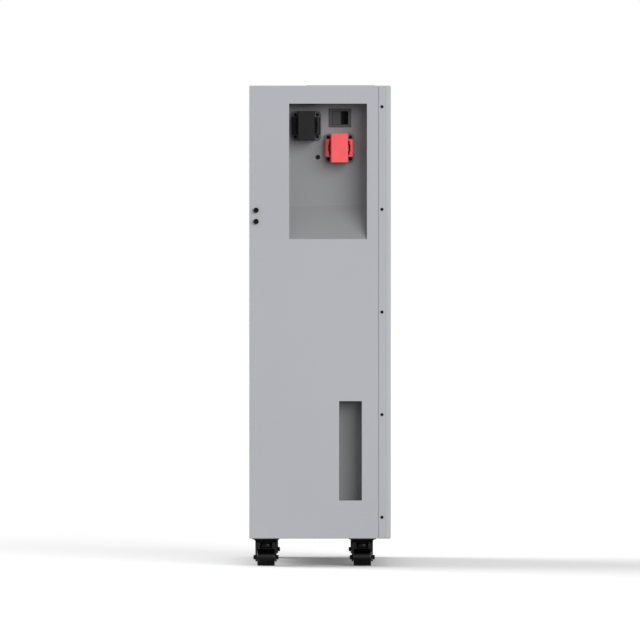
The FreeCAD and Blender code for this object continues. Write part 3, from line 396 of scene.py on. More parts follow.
coatFinish = powderCoat("lightGreyPowderCoat", colors["cabinet"])
pocketPaintedShadeFinish = powderCoat("pocketPowderCoatPaintedShade", colors["pocket"])
gripPaintedShadeFinish = powderCoat("gripPowderCoatPaintedShade", colors["grip"])
blackFinish = mouldedPlastic("blackTerminalPlastic", colors["black"], roughness=0.5)
redFinish = mouldedPlastic("redTerminalPlastic", colors["red"], roughness=0.42)
flangeFinishes = {
    "negative": mouldedPlastic("darkGreyFlangePlastic", colors["darkFlange"], roughness=0.5),
    "positive": mouldedPlastic("greyFlangePlastic", colors["greyFlange"], roughness=0.5),
}
bezelFinish = mouldedPlastic("bezelPlastic", colors["bezel"], roughness=0.45)
forkFinish = metalFinish("casterPaint", colors["casterFork"], 0.45, spread=0.1, metallic=0.0)
platePaintedLightFinish = metalFinish("casterPlatePaintPaintedLight", colors["casterPlate"], 0.45, spread=0.1, metallic=0.0)
wheelFinish = mouldedPlastic("wheelPlastic", colors["wheel"], 0.12, grain=0.08, specular=0.5)
screwFinish = metalFinish("blackScrewSteel", colors["screw"], 0.4, metallic=0.6)
nutFinish = metalFinish("blackNutSteel", colors["rivetNut"], 0.4, metallic=0.6)
kingpinFinish = metalFinish("glossBlackSteel", colors["kingpin"], 0.16, metallic=0.0)
# Painted shade: near-black finish for the fork's shaded middle.
coreShadeFinish = mouldedPlastic("forkPaintedShadeBlack", colors["coreShade"], 0.7, specular=0.1)
insertFinish = metalFinish("dullInsertSteel", colors["insert"], 0.45, metallic=0.7)
print("finishes made")

# The pieces' sizes: play is a gap left between two pieces, reach, over and root are how far
# a cutter or a block runs past a face.

# Cabinet body: folded sheet with a stepped lip behind the cover

cabinet = {"half": 230, "rear": 125, "seam": -103, "bottom": 50, "top": 850, "sheet": 1.5,
           "bend": 1.2, "lipInset": 1.8, "lipFront": -117, "lipOverlap": 6, "edge": 0.35,
           "cutReach": 10}


def makeCabinetBody():
    c, p, g, t = cabinet, pocket, grip, topPlate
    body = addBox("cabinetBody", (-c["half"], c["seam"], c["bottom"]), (c["half"], c["rear"], c["top"]))
    pick(body, "EDGE", lambda middle, run: middle.y > c["seam"] + near)
    bevelPicked(c["bend"], steps=5)
    pick(body, "FACE", lambda middle, normal: faces(-normal.y))
    deletePicked()
    addWall(body, c["sheet"])
    inset = c["lipInset"]
    lip = addBox("lip", (-c["half"] + inset, c["lipFront"], c["bottom"] + inset),
                 (c["half"] - inset, c["seam"] + c["lipOverlap"], c["top"] - inset))
    pick(lip, "FACE", lambda middle, normal: along(normal.y))
    deletePicked()
    addWall(lip, c["sheet"])
    reach = c["cutReach"]
    inside, outside = c["half"] - reach, c["half"] + reach
    cutters = [addBox("mouth", (-outside, p["front"], p["bottom"]), (-inside, p["rear"], p["top"]))]
    for side in (-1, 1):
        low, high = sideSpan(side, inside, outside)
        cutters.append(addBox("mouth", (low, g["front"], g["bottom"]), (high, g["rear"], g["top"])))
        for y, z in bracketPlaces:
            cutters.append(addNutHole((side * c["half"], y, z)))
    margin = t["margin"]
    cutters.append(addBox("service", (margin - t["half"], t["front"] + margin, c["top"] - reach),
                          (t["half"] - margin, t["rear"] - margin, c["top"] + reach)))
    cutWith(body, cutters)
    softenEdges(body, c["edge"])
    body = joinPieces("cabinetBody", [body, lip])
    settle(body, "cabinet", ["cabinet_shell"], coatFinish)


# Front cover: a deep pan with rounded upright edges, and the cones that sink its screws

cover = {"half": 230, "front": -125, "rim": -103.6, "bottom": 50, "top": 850, "sheet": 1.5,
         "upright": 6.5, "rimEdge": 2, "edge": 0.2}
sideScrews = {"y": -109.3, "middle": 450, "pitch": 181.2}
sidePlaces = [(sideScrews["y"], sideScrews["middle"] + step * sideScrews["pitch"])
              for step in range(-2, 3)]
sink = {"wide": 3.05, "narrow": 1.65, "depth": 1.4, "proud": 0.02}


def sinkCutters(places, axis, outward):
    # The wide end of each cone points outwards.
    radii = (sink["narrow"], sink["wide"]) if sum(outward) > 0 else (sink["wide"], sink["narrow"])
    cutters = []
    for place in places:
        middle = Vector(place) - Vector(outward) * sink["depth"] / 2
        cutters.append(addCone("cone", axis, middle, *radii, sink["depth"] + sink["proud"]))
    return cutters


def makeCoverPanel():
    c = cover
    panel = addBox("frontCover", (-c["half"], c["front"], c["bottom"]), (c["half"], c["rim"], c["top"]))
    pick(panel, "EDGE", lambda middle, run: along(run.z) and middle.y < c["front"] + near)
    bevelPicked(c["upright"], steps=8)
    pick(panel, "EDGE", lambda middle, run: across(run.z) and middle.y < c["rim"] - near)
    bevelPicked(c["rimEdge"], steps=4)
    pick(panel, "FACE", lambda middle, normal: faces(normal.y))
    deletePicked()
    addWall(panel, c["sheet"])
    for side in (-1, 1):
        places = [(side * c["half"], y, z) for y, z in sidePlaces]
        cutWith(panel, sinkCutters(places, "X", (side, 0, 0)))
    softenEdges(panel, c["edge"])
    settle(panel, "cabinet", ["front_cover"], coatFinish)


# Top plate over the service opening, which is smaller by a margin all round

topPlate = {"half": 200, "front": -97.1, "rear": 23.9, "bottom": 850, "top": 852, "corner": 4,
            "edge": 0.5, "margin": 15, "screwInset": 7.5}
topScrewPlaces = [(x, y, topPlate["top"])
                  for x in (topPlate["screwInset"] - topPlate["half"], 0,
                            topPlate["half"] - topPlate["screwInset"])
                  for y in (topPlate["front"] + topPlate["screwInset"],
                            topPlate["rear"] - topPlate["screwInset"])]


def makeTopPlate():
    t = topPlate
    plate = addBox("topPlate", (-t["half"], t["front"], t["bottom"]), (t["half"], t["rear"], t["top"]))
    pick(plate, "EDGE", lambda middle, run: along(run.z))
    bevelPicked(t["corner"], steps=6)
    cutWith(plate, sinkCutters(topScrewPlaces, "Z", (0, 0, 1)))
    softenEdges(plate, t["edge"])
    settle(plate, "cabinet", ["top_plate"], coatFinish)


# Countersunk screws with a hex recess, head up at the origin

sunkScrew = {"head": 2.75, "headDepth": 1.25, "headRim": 0.15, "shank": 1.45, "length": 8,
             "socket": 1.15, "socketDepth": 0.9, "edge": 0.08}


def cutSocket(screw, level, size):
    # Half of the cutter stands out of the head.
    cutWith(screw, [addRod("hex", "Z", (0, 0, level), size["socket"], 2 * size["socketDepth"], sides=6)])


def makeCoverScrews():
    s = sunkScrew
    screw = addRod("screw", "Z", (0, 0, -(s["length"] + s["headDepth"]) / 2), s["shank"],
                   s["length"] - s["headDepth"], sides=32)
    pick(screw, "FACE", lambda middle, normal: faces(normal.z))
    extrudePicked(z=s["headDepth"] - s["headRim"])
    grow = s["head"] / s["shank"]
    resizePicked(grow, grow)
    extrudePicked(z=s["headRim"])
    leaveEdit()
    cutSocket(screw, 0, s)
    softenEdges(screw, s["edge"])
    copies = copyToSides(screw, "screw", cover["half"], sidePlaces)
    copies += [copyPiece(screw, "screw", place) for place in topScrewPlaces]
    settleCopies(screw, copies, "coverScrews", "cover_screws", screwFinish)


# Recessed pocket with a sloping floor, and the hand grips

pocket = {"rear": 54.5, "front": -83, "bottom": 578.8, "top": 818.1, "back": -180, "mouth": -228.5,
          "rise": 61.2, "bend": 1.8, "sheet": 1.2, "edge": 0.1, "cutReach": 9}
grip = {"rear": -33.9, "front": -73.9, "bottom": 117.3, "top": 292.8, "back": 190, "mouth": 228.5,
        "corner": 6, "sheet": 1.2, "edge": 0.1}


def makeTerminalPocket():
    p, s = pocket, switch
    shell = addBox("terminalPocket", (p["mouth"], p["front"], p["bottom"]), (p["back"], p["rear"], p["top"]))
    pick(shell, "POINT", lambda place: place.x > p["back"] - near and place.z < p["bottom"] + near)
    movePicked(z=p["rise"])
    pick(shell, "EDGE", lambda middle, run: middle.x > p["mouth"] + near)
    bevelPicked(p["bend"], steps=5)
    pick(shell, "FACE", lambda middle, normal: faces(-normal.x))
    deletePicked()
    addWall(shell, p["sheet"], outward=True)
    tub = s["wall"] + s["play"]
    sleeve = base["sleeve"] / 2 + base["sleevePlay"]
    holes = [(s["y"], s["z"], s["openWidth"] / 2 + tub, s["openHeight"] / 2 + tub)]
    holes += [(y, z, sleeve, sleeve) for y, z in terminals.values()]
    cutters = [addNutHole(earthPlace)]
    for y, z, wide, high in holes:
        cutters.append(addBox("hole", (p["back"] - p["cutReach"], y - wide, z - high),
                              (p["back"] + p["cutReach"], y + wide, z + high)))
    cutWith(shell, cutters)
    softenEdges(shell, p["edge"])
    settle(shell, "cabinet", ["terminal_pocket"], pocketPaintedShadeFinish)


def makeGripPocket(name, node, side):
    g = grip
    low, high = sideSpan(side, g["back"], g["mouth"])
    shell = addBox(name, (low, g["front"], g["bottom"]), (high, g["rear"], g["top"]))
    pick(shell, "EDGE", lambda middle, run: along(run.z) and abs(middle.x) < g["back"] + near)
    bevelPicked(g["corner"], steps=8)
    pick(shell, "FACE", lambda middle, normal: faces(side * normal.x)
         and abs(middle.x) > g["mouth"] - near)
    deletePicked()
    addWall(shell, g["sheet"], outward=True)
    softenEdges(shell, g["edge"])
    settle(shell, "cabinet", [node], gripPaintedShadeFinish)


# Bracket screws, rivet nuts and the open earth point, drawn pointing up at the origin

capScrew = {"head": 4.6, "headHeight": 5, "sides": 72, "knurl": 0.965, "chamfer": 0.5, "crown": 0.88,
            "socket": 2.3, "socketDepth": 2.6, "shank": 2.45, "length": 10, "edge": 0.12}
rivetNut = {"flange": 4.4, "flangeHeight": 0.5, "barrel": 3.5, "length": 10, "mouth": 3.2,
            "bore": 2.5, "end": 1, "edge": 0.1, "play": 0.1, "cutLength": 20}
bracketPlaces = [(112.7, 609.9), (112.7, 629.9)]
earthPlace = (pocket["back"], 3.8, 724.8)


def addNutHole(place):
    return addRod("nutHole", "X", place, rivetNut["barrel"] + rivetNut["play"],
                  rivetNut["cutLength"], sides=40)


def makeBracketScrews():
    s = capScrew
    straight = s["headHeight"] - s["chamfer"]
    screw = addRod("capScrew", "Z", (0, 0, straight / 2), s["head"], straight, s["sides"])
    step = 2 * math.pi / s["sides"]
    pick(screw, "POINT", lambda place: round(math.atan2(place.y, place.x) / step) % 2 == 0)
    resizePicked(s["knurl"], s["knurl"])
    leaveEdit()
    pick(screw, "FACE", lambda middle, normal: faces(normal.z))
    extrudePicked(z=s["chamfer"])
    resizePicked(s["crown"], s["crown"])
    leaveEdit()
    cutSocket(screw, s["headHeight"], s)
    shank = addRod("shank", "Z", (0, 0, -s["length"] / 2), s["shank"], s["length"], sides=32)
    screw = joinPieces("capScrew", [screw, shank])
    softenEdges(screw, s["edge"])
    reach = cabinet["half"] + rivetNut["flangeHeight"]
    copies = copyToSides(screw, "capScrew", reach, bracketPlaces)
    settleCopies(screw, copies, "bracketScrews", "bracket_screws", screwFinish)


def makeRivetNuts():
    n = rivetNut
    nut = addRod("rivetNut", "Z", (0, 0, -n["length"] / 2), n["barrel"], n["length"])
    pick(nut, "FACE", lambda middle, normal: faces(normal.z))
    grow = n["flange"] / n["barrel"]
    extrudePicked()
    resizePicked(grow, grow)
    extrudePicked(z=n["flangeHeight"])
    insetPicked(n["flange"] - n["mouth"])
    taper = n["bore"] / n["mouth"]
    extrudePicked(z=n["bore"] - n["mouth"])
    resizePicked(taper, taper)
    extrudePicked(z=-(n["length"] - n["end"]))
    leaveEdit()
    softenEdges(nut, n["edge"])
    copies = [copyPiece(nut, "rivetNut", earthPlace, (0, -90, 0))]
    copies += copyToSides(nut, "rivetNut", cabinet["half"], bracketPlaces)
    settleCopies(nut, copies, "rivetNuts", "rivet_nuts", nutFinish)


# Terminals: base, cap and screws, drawn about the terminal's middle on the pocket's back wall

terminals = {"negative": (24.3, 780.4), "positive": (-34.3, 740.7)}
base = {"width": 52, "height": 52.4, "thick": 3.5, "corner": 6.2, "edge": 0.4, "fineEdge": 0.2,
        "spacing": 39.2, "sinkRadius": 3.1, "sinkDepth": 1.8, "hole": 1.7, "holeDepth": 10,
        "insert": 5.1, "insertPlay": 0.02, "ribInner": 15.6, "ribOuter": 25.2, "ribHeight": 16,
        "ribLength": 31, "ribRound": 5, "slot": (2.4, 24.4), "notch": (3.9, 11.6), "slotOver": 1,
        "slotFloor": 0.2, "chimneyWidth": 27, "chimneyHeight": 46.4, "chimneyWall": 1.6,
        "chimneyReach": 12, "chimneyRound": 1.5, "root": 0.5, "sleeve": 26.4, "sleeveReach": 8,
        "sleevePlay": 0.3, "post": 20.2, "postReach": 20}
baseRim = -base["thick"]
baseCorners = [(across * base["spacing"] / 2, up * base["spacing"] / 2)
               for across in (-1, 1) for up in (-1, 1)]


def modelFlange():
    b = base
    wide, high, post = b["width"] / 2, b["height"] / 2, b["post"] / 2
    flange = addBox("flange", (baseRim, -wide, -high), (0, wide, high))
    pick(flange, "EDGE", lambda middle, run: along(run.x))
    bevelPicked(b["corner"], steps=8)
    cutters = [addBox("post", (-b["postReach"], -post, -post), (b["postReach"], post, post))]
    for y, z in baseCorners:
        cutters.append(addRod("sink", "X", (baseRim, y, z), b["insert"], 2 * b["sinkDepth"]))
        cutters.append(addRod("hole", "X", (baseRim + b["holeDepth"] / 2, y, z), b["hole"],
                              b["holeDepth"], sides=24))
    cutWith(flange, cutters)
    softenEdges(flange, b["edge"])
    return flange


def modelInsert(y, z):
    b = base
    insert = addRod("insert", "X", (baseRim + b["sinkDepth"] / 2, y, z), b["insert"] - b["insertPlay"],
                    b["sinkDepth"])
    cutWith(insert, [addRod("sink", "X", (baseRim, y, z), b["sinkRadius"], b["holeDepth"], sides=40)])
    softenEdges(insert, b["fineEdge"])
    return insert


def modelChimney():
    b = base
    wide, high = b["chimneyWidth"] / 2, b["chimneyHeight"] / 2
    chimney = addBox("chimney", (baseRim - b["chimneyReach"], -wide, -high),
                     (baseRim + b["root"], wide, high))
    pick(chimney, "EDGE", lambda middle, run: along(run.x))
    bevelPicked(b["chimneyRound"], steps=4)
    pick(chimney, "FACE", lambda middle, normal: along(normal.x))
    deletePicked()
    addWall(chimney, b["chimneyWall"])
    softenEdges(chimney, b["fineEdge"])
    return chimney


def modelRib(side):
    b = base
    front, half = baseRim - b["ribHeight"], b["ribLength"] / 2
    low, high = sideSpan(side, b["ribInner"], b["ribOuter"])
    rib = addBox("rib", (front, low, -half), (baseRim + b["root"], high, half))
    pick(rib, "EDGE", lambda middle, run: along(run.z) and middle.x < baseRim - near
         and abs(middle.y) > b["ribOuter"] - near)
    bevelPicked(b["ribRound"], steps=6)
    for width, length in (b["slot"], b["notch"]):
        low, high = sideSpan(side, b["ribInner"] - b["slotOver"], b["ribInner"] + width)
        cutWith(rib, [addBox("slot", (front - b["slotOver"], low, -length / 2),
                             (baseRim + b["slotFloor"], high, length / 2))])
    softenEdges(rib, b["edge"])
    return rib


def modelSleeve():
    b = base
    half = b["sleeve"] / 2
    sleeve = addBox("sleeve", (-b["root"], -half, -half), (b["sleeveReach"], half, half))
    pick(sleeve, "FACE", lambda middle, normal: along(normal.x))
    deletePicked()
    addWall(sleeve, (b["sleeve"] - b["post"]) / 2)
    return sleeve


def makeTerminalBase(polarity, finish):
    flange = modelFlange()
    blocks = [modelChimney(), modelRib(-1), modelRib(1), modelSleeve()]
    inserts = [modelInsert(y, z) for y, z in baseCorners]
    for parts, look in (([flange], flangeFinishes[polarity]), (blocks, finish), (inserts, insertFinish)):
        for part in parts:
            part.data.materials.append(look)
    piece = joinPieces(polarity + "TerminalBase", [flange] + blocks + inserts)
    placePiece(piece, (pocket["back"], *terminals[polarity]))
    settle(piece, "cabinet", [polarity + "_terminal_base"])


cap = {"width": 30.6, "height": 51, "drop": 0.5, "reach": 32.8, "wall": 1.5, "chamfer": 1.6,
       "edge": 0.5, "edgeAngle": 25, "tongueThick": 1.8, "tongueWidth": 10, "tongueLength": 9,
       "tongueRoot": 0.5, "tongueGap": 0.1, "tongueChamfer": 1.2, "tongueEdge": 0.25,
       "knockout": 6, "knockoutDepth": 0.6}


def modelTongue(side):
    c = cap
    low, high = sideSpan(side, c["width"] / 2 - c["tongueRoot"], c["width"] / 2 + c["tongueThick"])
    front, half = baseRim - c["tongueLength"], c["tongueWidth"] / 2
    tongue = addBox("tongue", (front, low, -half), (baseRim - c["tongueGap"], high, half))
    pick(tongue, "EDGE", lambda middle, run: along(run.z) and middle.x < front + near
         and abs(middle.y) > c["width"] / 2)
    bevelPicked(c["tongueChamfer"], steps=2)
    softenEdges(tongue, c["tongueEdge"])
    return tongue


def makeTerminalCap(polarity, finish):
    c = cap
    front = baseRim - c["reach"]
    wide, high = c["width"] / 2, c["height"] / 2
    body = addBox("cap", (front, -wide, -high), (baseRim, wide, high))
    pick(body, "EDGE", lambda middle, run: along(run.z) and middle.x < front + near)
    bevelPicked(c["chamfer"], steps=1)
    pick(body, "FACE", lambda middle, normal: faces(normal.x))
    deletePicked()
    addWall(body, c["wall"])
    knockout = addRod("knockout", "Z", (baseRim - 2 * c["knockout"], 0, -high), c["knockout"],
                      2 * c["knockoutDepth"])
    cutWith(body, [knockout])
    softenEdges(body, c["edge"], steps=3, angle=c["edgeAngle"])
    piece = joinPieces(polarity + "TerminalCap", [body, modelTongue(-1), modelTongue(1)])
    y, z = terminals[polarity]
    placePiece(piece, (pocket["back"], y, z - c["drop"]))
    settle(piece, polarity + "_cap", [polarity + "_terminal_cap"], finish)


panScrew = {"head": 2.75, "headHeight": 1.6, "shank": 1.5, "length": 8, "socket": 1.15,
            "socketDepth": 0.9, "edge": 0.35}


def makeTerminalScrews():
    s = panScrew
    screw = addRod("panScrew", "Z", (0, 0, s["headHeight"] / 2), s["head"], s["headHeight"], sides=36)
    cutSocket(screw, s["headHeight"], s)
    shank = addRod("shank", "Z", (0, 0, -s["length"] / 2), s["shank"], s["length"], sides=24)
    softenEdges(screw, s["edge"], steps=3)
    screw = joinPieces("panScrew", [screw, shank])
    seat = pocket["back"] + baseRim + base["sinkDepth"]
    copies = [copyPiece(screw, "panScrew", (seat, middleY + y, middleZ + z), (0, -90, 0))
              for middleY, middleZ in terminals.values() for y, z in baseCorners]
    settleCopies(screw, copies, "terminalScrews", "terminal_screws", screwFinish)


# Rocker switch, drawn about its middle on the pocket's back wall

switch = {"y": -35.6, "z": 794.6, "width": 39, "height": 32.7, "proud": 2.2, "bezelChamfer": 0.7,
          "edge": 0.25, "openWidth": 28.3, "openHeight": 24, "openReach": 5, "wall": 1.6,
          "depth": 14, "root": 0.5, "play": 0.3}


def makeSwitchHousing():
    s = switch
    bezel = addBox("bezel", (-s["proud"], -s["width"] / 2, -s["height"] / 2),
                   (0, s["width"] / 2, s["height"] / 2))
    pick(bezel, "EDGE", lambda middle, run: middle.x < -s["proud"] + near)
    bevelPicked(s["bezelChamfer"], steps=2)
    wide, high, wall = s["openWidth"] / 2, s["openHeight"] / 2, s["wall"]
    tub = addBox("tub", (-s["root"], -wide - wall, -high - wall),
                 (s["depth"] + wall, wide + wall, high + wall))
    for part in (bezel, tub):
        cutWith(part, [addBox("opening", (-s["openReach"], -wide, -high), (s["depth"], wide, high))])
    softenEdges(bezel, s["edge"])
    piece = joinPieces("switchHousing", [bezel, tub])
    placePiece(piece, (pocket["back"], s["y"], s["z"]))
    settle(piece, "cabinet", ["switch_housing"], bezelFinish)


# The rocker's pressed end is sunk; its colour carries painted shade, darker from that end on, and shade gives
# how dark it is along the rocker.

rocker = {"half": 13.8, "height": 23.3, "face": -2.2, "sunk": 4.72, "short": 0.83, "inner": 7.8,
          "foot": 10, "edge": 0.5, "edgeAngle": 12, "pin": 1.5, "pinPlace": -0.4, "pinReach": 1,
          "shade": [(0.2, 0.006), (0.376, 0.05), (0.45, 0.25), (0.49, 1.0)]}


def rockerPlasticPaintedShade(name, color):
    finish = Finish(name, roughness=0.4, specular=0.05)
    split = finish.nodes.new("ShaderNodeSeparateXYZ")
    mapping = finish.nodes.new("ShaderNodeMapping")
    mapping.vector_type = "TEXTURE"
    mapping.inputs["Location"].default_value = (0, (switch["y"] - rocker["half"]) * mm, 0)
    mapping.inputs["Scale"].default_value = (1, 2 * rocker["half"] * mm, 1)
    finish.links.new(finish.place, mapping.inputs["Vector"])
    finish.links.new(mapping.outputs["Vector"], split.inputs["Vector"])
    # Painted shade: the rocker's colour darkens towards the pressed end.
    stops = [(spot, [value * share for value in color]) for spot, share in rocker["shade"]]
    finish.tint(split.outputs["Y"], stops)
    finish.shine(finish.noise(scale=900), low=0.36, high=0.46)
    finish.bump(finish.noise(scale=2600), strength=0.1, depth=0.05)
    return finish.material


def makeRocker():
    r = rocker
    key = addBox("rocker", (r["face"], -r["half"], -r["height"] / 2),
                 (r["inner"], r["half"], r["height"] / 2))
    pick(key, "FACE", lambda middle, normal: True)
    bpy.ops.mesh.bisect(plane_co=(0, 0, 0), plane_no=(0, 1, 0))
    leaveEdit()
    pick(key, "POINT", lambda place: place.x < r["face"] + near and place.y < -r["half"] + near)
    movePicked(x=r["sunk"], y=r["short"])
    pick(key, "POINT", lambda place: place.x > r["inner"] - near and abs(place.y) > r["half"] - near)
    resizePicked(y=r["foot"] / r["half"])
    leaveEdit()
    softenEdges(key, r["edge"], steps=3, angle=r["edgeAngle"])
    pin = addRod("pin", "Z", (r["pinPlace"], 0, 0), r["pin"], r["height"] + 2 * r["pinReach"], sides=24)
    piece = joinPieces("switchRocker", [key, pin])
    placePiece(piece, (pocket["back"], switch["y"], switch["z"]))
    finish = rockerPlasticPaintedShade("rockerPlasticPaintedShade", colors["rocker"])
    settle(piece, "rocker", ["switch_rocker"], finish)


# Casters, drawn about the swivel axis on the floor, the wheel trailing along X

casterPlaces = {"rear_left": (-185, 95.8), "rear_right": (185, 95.8),
                "front_left": (-185, -75), "front_right": (185, -75)}
casterPlate = {"size": 48, "low": 47.6, "top": 50, "corner": 4, "edge": 0.3, "raceTop": 7.8,
               "raceBottom": 8.4, "raceLow": 45.2, "raceRound": 0.8}
casterScrew = {"offset": 16.5, "head": 3.7, "headHeight": 2.3, "headRound": 1.1, "socket": 1.5,
               "socketDepth": 1.2, "edge": 0.08}
kingpin = {"nut": 11.1, "low": 34, "top": 38.8, "rim": 5, "dish": 1.2, "edge": 0.8}
casterFork = {"half": 18.8, "crownTop": 45, "crownLow": 41.8, "crownFront": -13, "crownRear": 18,
              "crownCorner": 4, "cup": 11, "cupLow": 39, "leg": 3, "legEnd": 7.5, "legRound": 0.99,
              "flange": 4.8, "flangeLow": 30, "bridge": (-4, 12, 31, 33.5), "edge": 0.45,
              "shadeOver": 0.5, "shadeSlope": 0.9}
casterAxle = {"trail": 10, "level": 15, "radius": 3, "end": 22.3, "head": 4, "headRim": 2.2,
              "headDish": 0.7, "headPlay": 0.1, "edge": 0.35}
casterWheel = {"radius": 15, "half": 15.45, "round": 1.2, "recess": 2, "recessRadius": 10.5,
               "hub": 5.5, "hubProud": 0.15, "borePlay": 0.05, "boreLength": 40, "edge": 0.3}


def modelCasterPlate():
    p = casterPlate
    half = p["size"] / 2
    plate = addBox("plate", (-half, -half, p["low"]), (half, half, p["top"]))
    pick(plate, "EDGE", lambda middle, run: along(run.z))
    bevelPicked(p["corner"], steps=6)
    softenEdges(plate, p["edge"])
    race = addCone("race", "Z", (0, 0, (p["raceLow"] + p["low"]) / 2), p["raceBottom"], p["raceTop"],
                   p["low"] - p["raceLow"], sides=56)
    softenEdges(race, p["raceRound"], steps=4)
    return joinPieces("casterPlate", [plate, race])


def modelCasterScrews():
    s = casterScrew
    low = casterPlate["low"] - s["headHeight"]
    screw = addRod("casterScrew", "Z", (0, 0, casterPlate["low"] - s["headHeight"] / 2), s["head"],
                   s["headHeight"], sides=40)
    pick(screw, "EDGE", lambda middle, run: middle.z < low + near)
    bevelPicked(s["headRound"], steps=4)
    cutSocket(screw, low, s)
    softenEdges(screw, s["edge"])
    copies = [copyPiece(screw, "casterScrew", (x * s["offset"], y * s["offset"], 0))
              for x in (-1, 1) for y in (-1, 1)]
    bpy.data.objects.remove(screw)
    return joinPieces("casterScrews", copies)


def modelKingpin():
    k = kingpin
    nut = addRod("kingpin", "Z", (0, 0, (k["low"] + k["top"]) / 2), k["nut"], k["top"] - k["low"], sides=56)
    pick(nut, "FACE", lambda middle, normal: faces(-normal.z))
    insetPicked(k["rim"])
    extrudePicked(z=k["dish"])
    leaveEdit()
    softenEdges(nut, k["edge"], steps=3)
    return nut


def modelFork():
    f, a = casterFork, casterAxle
    fork = addBox("casterFork", (f["crownFront"], -f["half"], f["crownLow"]),
                  (f["crownRear"], f["half"], f["crownTop"]))
    pick(fork, "EDGE", lambda middle, run: along(run.z) and middle.x > 0)
    bevelPicked(f["crownCorner"], steps=6)
    # Each leg narrows from the crown to the axle along its front and its rear edge.
    front = (f["crownFront"], a["trail"] - f["legEnd"])
    rear = (f["crownRear"] - f["crownCorner"], a["trail"] + f["legEnd"])
    slant = (front[1] - front[0]) / (f["crownLow"] - a["level"])
    inner = f["half"] - f["leg"]
    parts = []
    for side in (-1, 1):
        low, high = sideSpan(side, inner, f["half"])
        leg = addBox("leg", (front[0], low, a["level"]), (rear[0], high, f["crownLow"]))
        for top, end in (front, rear):
            pick(leg, "POINT", lambda place: place.z < a["level"] + near and abs(place.x - top) < near)
            movePicked(x=end - top)
        pick(leg, "FACE", lambda middle, normal: faces(-normal.z))
        extrudePicked(z=-f["legEnd"])
        leaveEdit()
        pick(leg, "EDGE", lambda middle, run: along(run.y) and middle.z < a["level"] - near)
        bevelPicked(f["legEnd"] * f["legRound"], steps=9)
        low, high = sideSpan(side, inner - f["flange"], inner)
        flange = addBox("flange", (front[0], low, f["flangeLow"]), (front[0] + f["leg"], high, f["crownLow"]))
        pick(flange, "POINT", lambda place: place.z < f["flangeLow"] + near)
        movePicked(x=slant * (f["crownLow"] - f["flangeLow"]))
        parts += [leg, flange]
    bridgeFront, bridgeRear, bridgeLow, bridgeTop = f["bridge"]
    parts.append(addBox("bridge", (bridgeFront, -inner, bridgeLow), (bridgeRear, inner, bridgeTop)))
    parts.append(addRod("cup", "Z", (0, 0, (f["cupLow"] + f["crownLow"]) / 2), f["cup"],
                        f["crownLow"] - f["cupLow"], sides=56))
    fuseWith(fork, parts)
    softenEdges(fork, f["edge"], steps=3)
    # Painted shade: the crown, cup and bridge between the two legs get a near-black finish for the shade
    # under the plate.
    fork.data.materials.append(forkFinish)
    fork.data.materials.append(coreShadeFinish)
    shadeHalf = inner - f["flange"] + f["shadeOver"]
    pick(fork, "FACE", lambda middle, normal: middle.z > bridgeLow - near
         and abs(middle.y) < shadeHalf and normal.z < f["shadeSlope"])
    fork.active_material_index = 1
    bpy.ops.object.material_slot_assign()
    leaveEdit()
    return fork


def modelAxle():
    a = casterAxle
    parts = [addRod("casterAxle", "Y", (a["trail"], 0, a["level"]), a["radius"], 2 * a["end"], sides=40)]
    length = a["end"] - casterFork["half"] - a["headPlay"]
    for side in (-1, 1):
        head = addRod("head", "Y", (a["trail"], side * (a["end"] - length / 2), a["level"]), a["head"],
                      length, sides=40)
        pick(head, "FACE", lambda middle, normal: faces(side * normal.y))
        insetPicked(a["headRim"])
        extrudePicked(y=-side * a["headDish"])
        leaveEdit()
        softenEdges(head, a["edge"], steps=3)
        parts.append(head)
    return joinPieces("casterAxle", parts)


def modelWheel():
    w, a = casterWheel, casterAxle
    centre = (a["trail"], 0, a["level"])
    wheel = addRod("casterWheel", "Y", centre, w["radius"], 2 * w["half"], sides=96)
    pick(wheel, "EDGE", lambda middle, run: abs(middle.y) > w["half"] - near)
    bevelPicked(w["round"], steps=4)
    for side in (-1, 1):
        pick(wheel, "FACE", lambda middle, normal: faces(side * normal.y))
        insetPicked(w["radius"] - w["round"] - w["recessRadius"])
        extrudePicked(y=-side * w["recess"])
        insetPicked(w["recessRadius"] - w["hub"])
        extrudePicked(y=side * (w["recess"] + w["hubProud"]))
        leaveEdit()
    cutWith(wheel, [addRod("bore", "Y", centre, a["radius"] + w["borePlay"], w["boreLength"], sides=40)])
    softenEdges(wheel, w["edge"])
    return wheel


def makeCasters():
    models = {"plate": modelCasterPlate(), "fork": modelFork(), "axle": modelAxle(), "wheel": modelWheel()}
    screws, pins = modelCasterScrews(), modelKingpin()
    finishes = {"plate": (platePaintedLightFinish, "caster_metal"), "fork": (None, "caster_metal"),
                "axle": (screwFinish, "axle_steel"), "wheel": (wheelFinish, "wheel_plastic")}
    for place, (x, y) in casterPlaces.items():
        bodies = {"plate": "cabinet", "fork": "caster_swivel_" + place,
                  "axle": "caster_swivel_" + place, "wheel": "caster_roller_" + place}
        for part, model in models.items():
            piece = copyPiece(model, f"caster_{part}_{place}_model", (x, y, 0))
            finish, slotName = finishes[part]
            settle(piece, bodies[part], [f"caster_{part}_{place}"], finish)
    for model, name, node, finish in ((screws, "casterScrews", "caster_screws", screwFinish),
                                      (pins, "casterKingpins", "caster_kingpins", kingpinFinish)):
        copies = [copyPiece(model, name, (x, y, 0)) for x, y in casterPlaces.values()]
        settleCopies(model, copies, name, node, finish)
    for model in models.values():
        bpy.data.objects.remove(model)


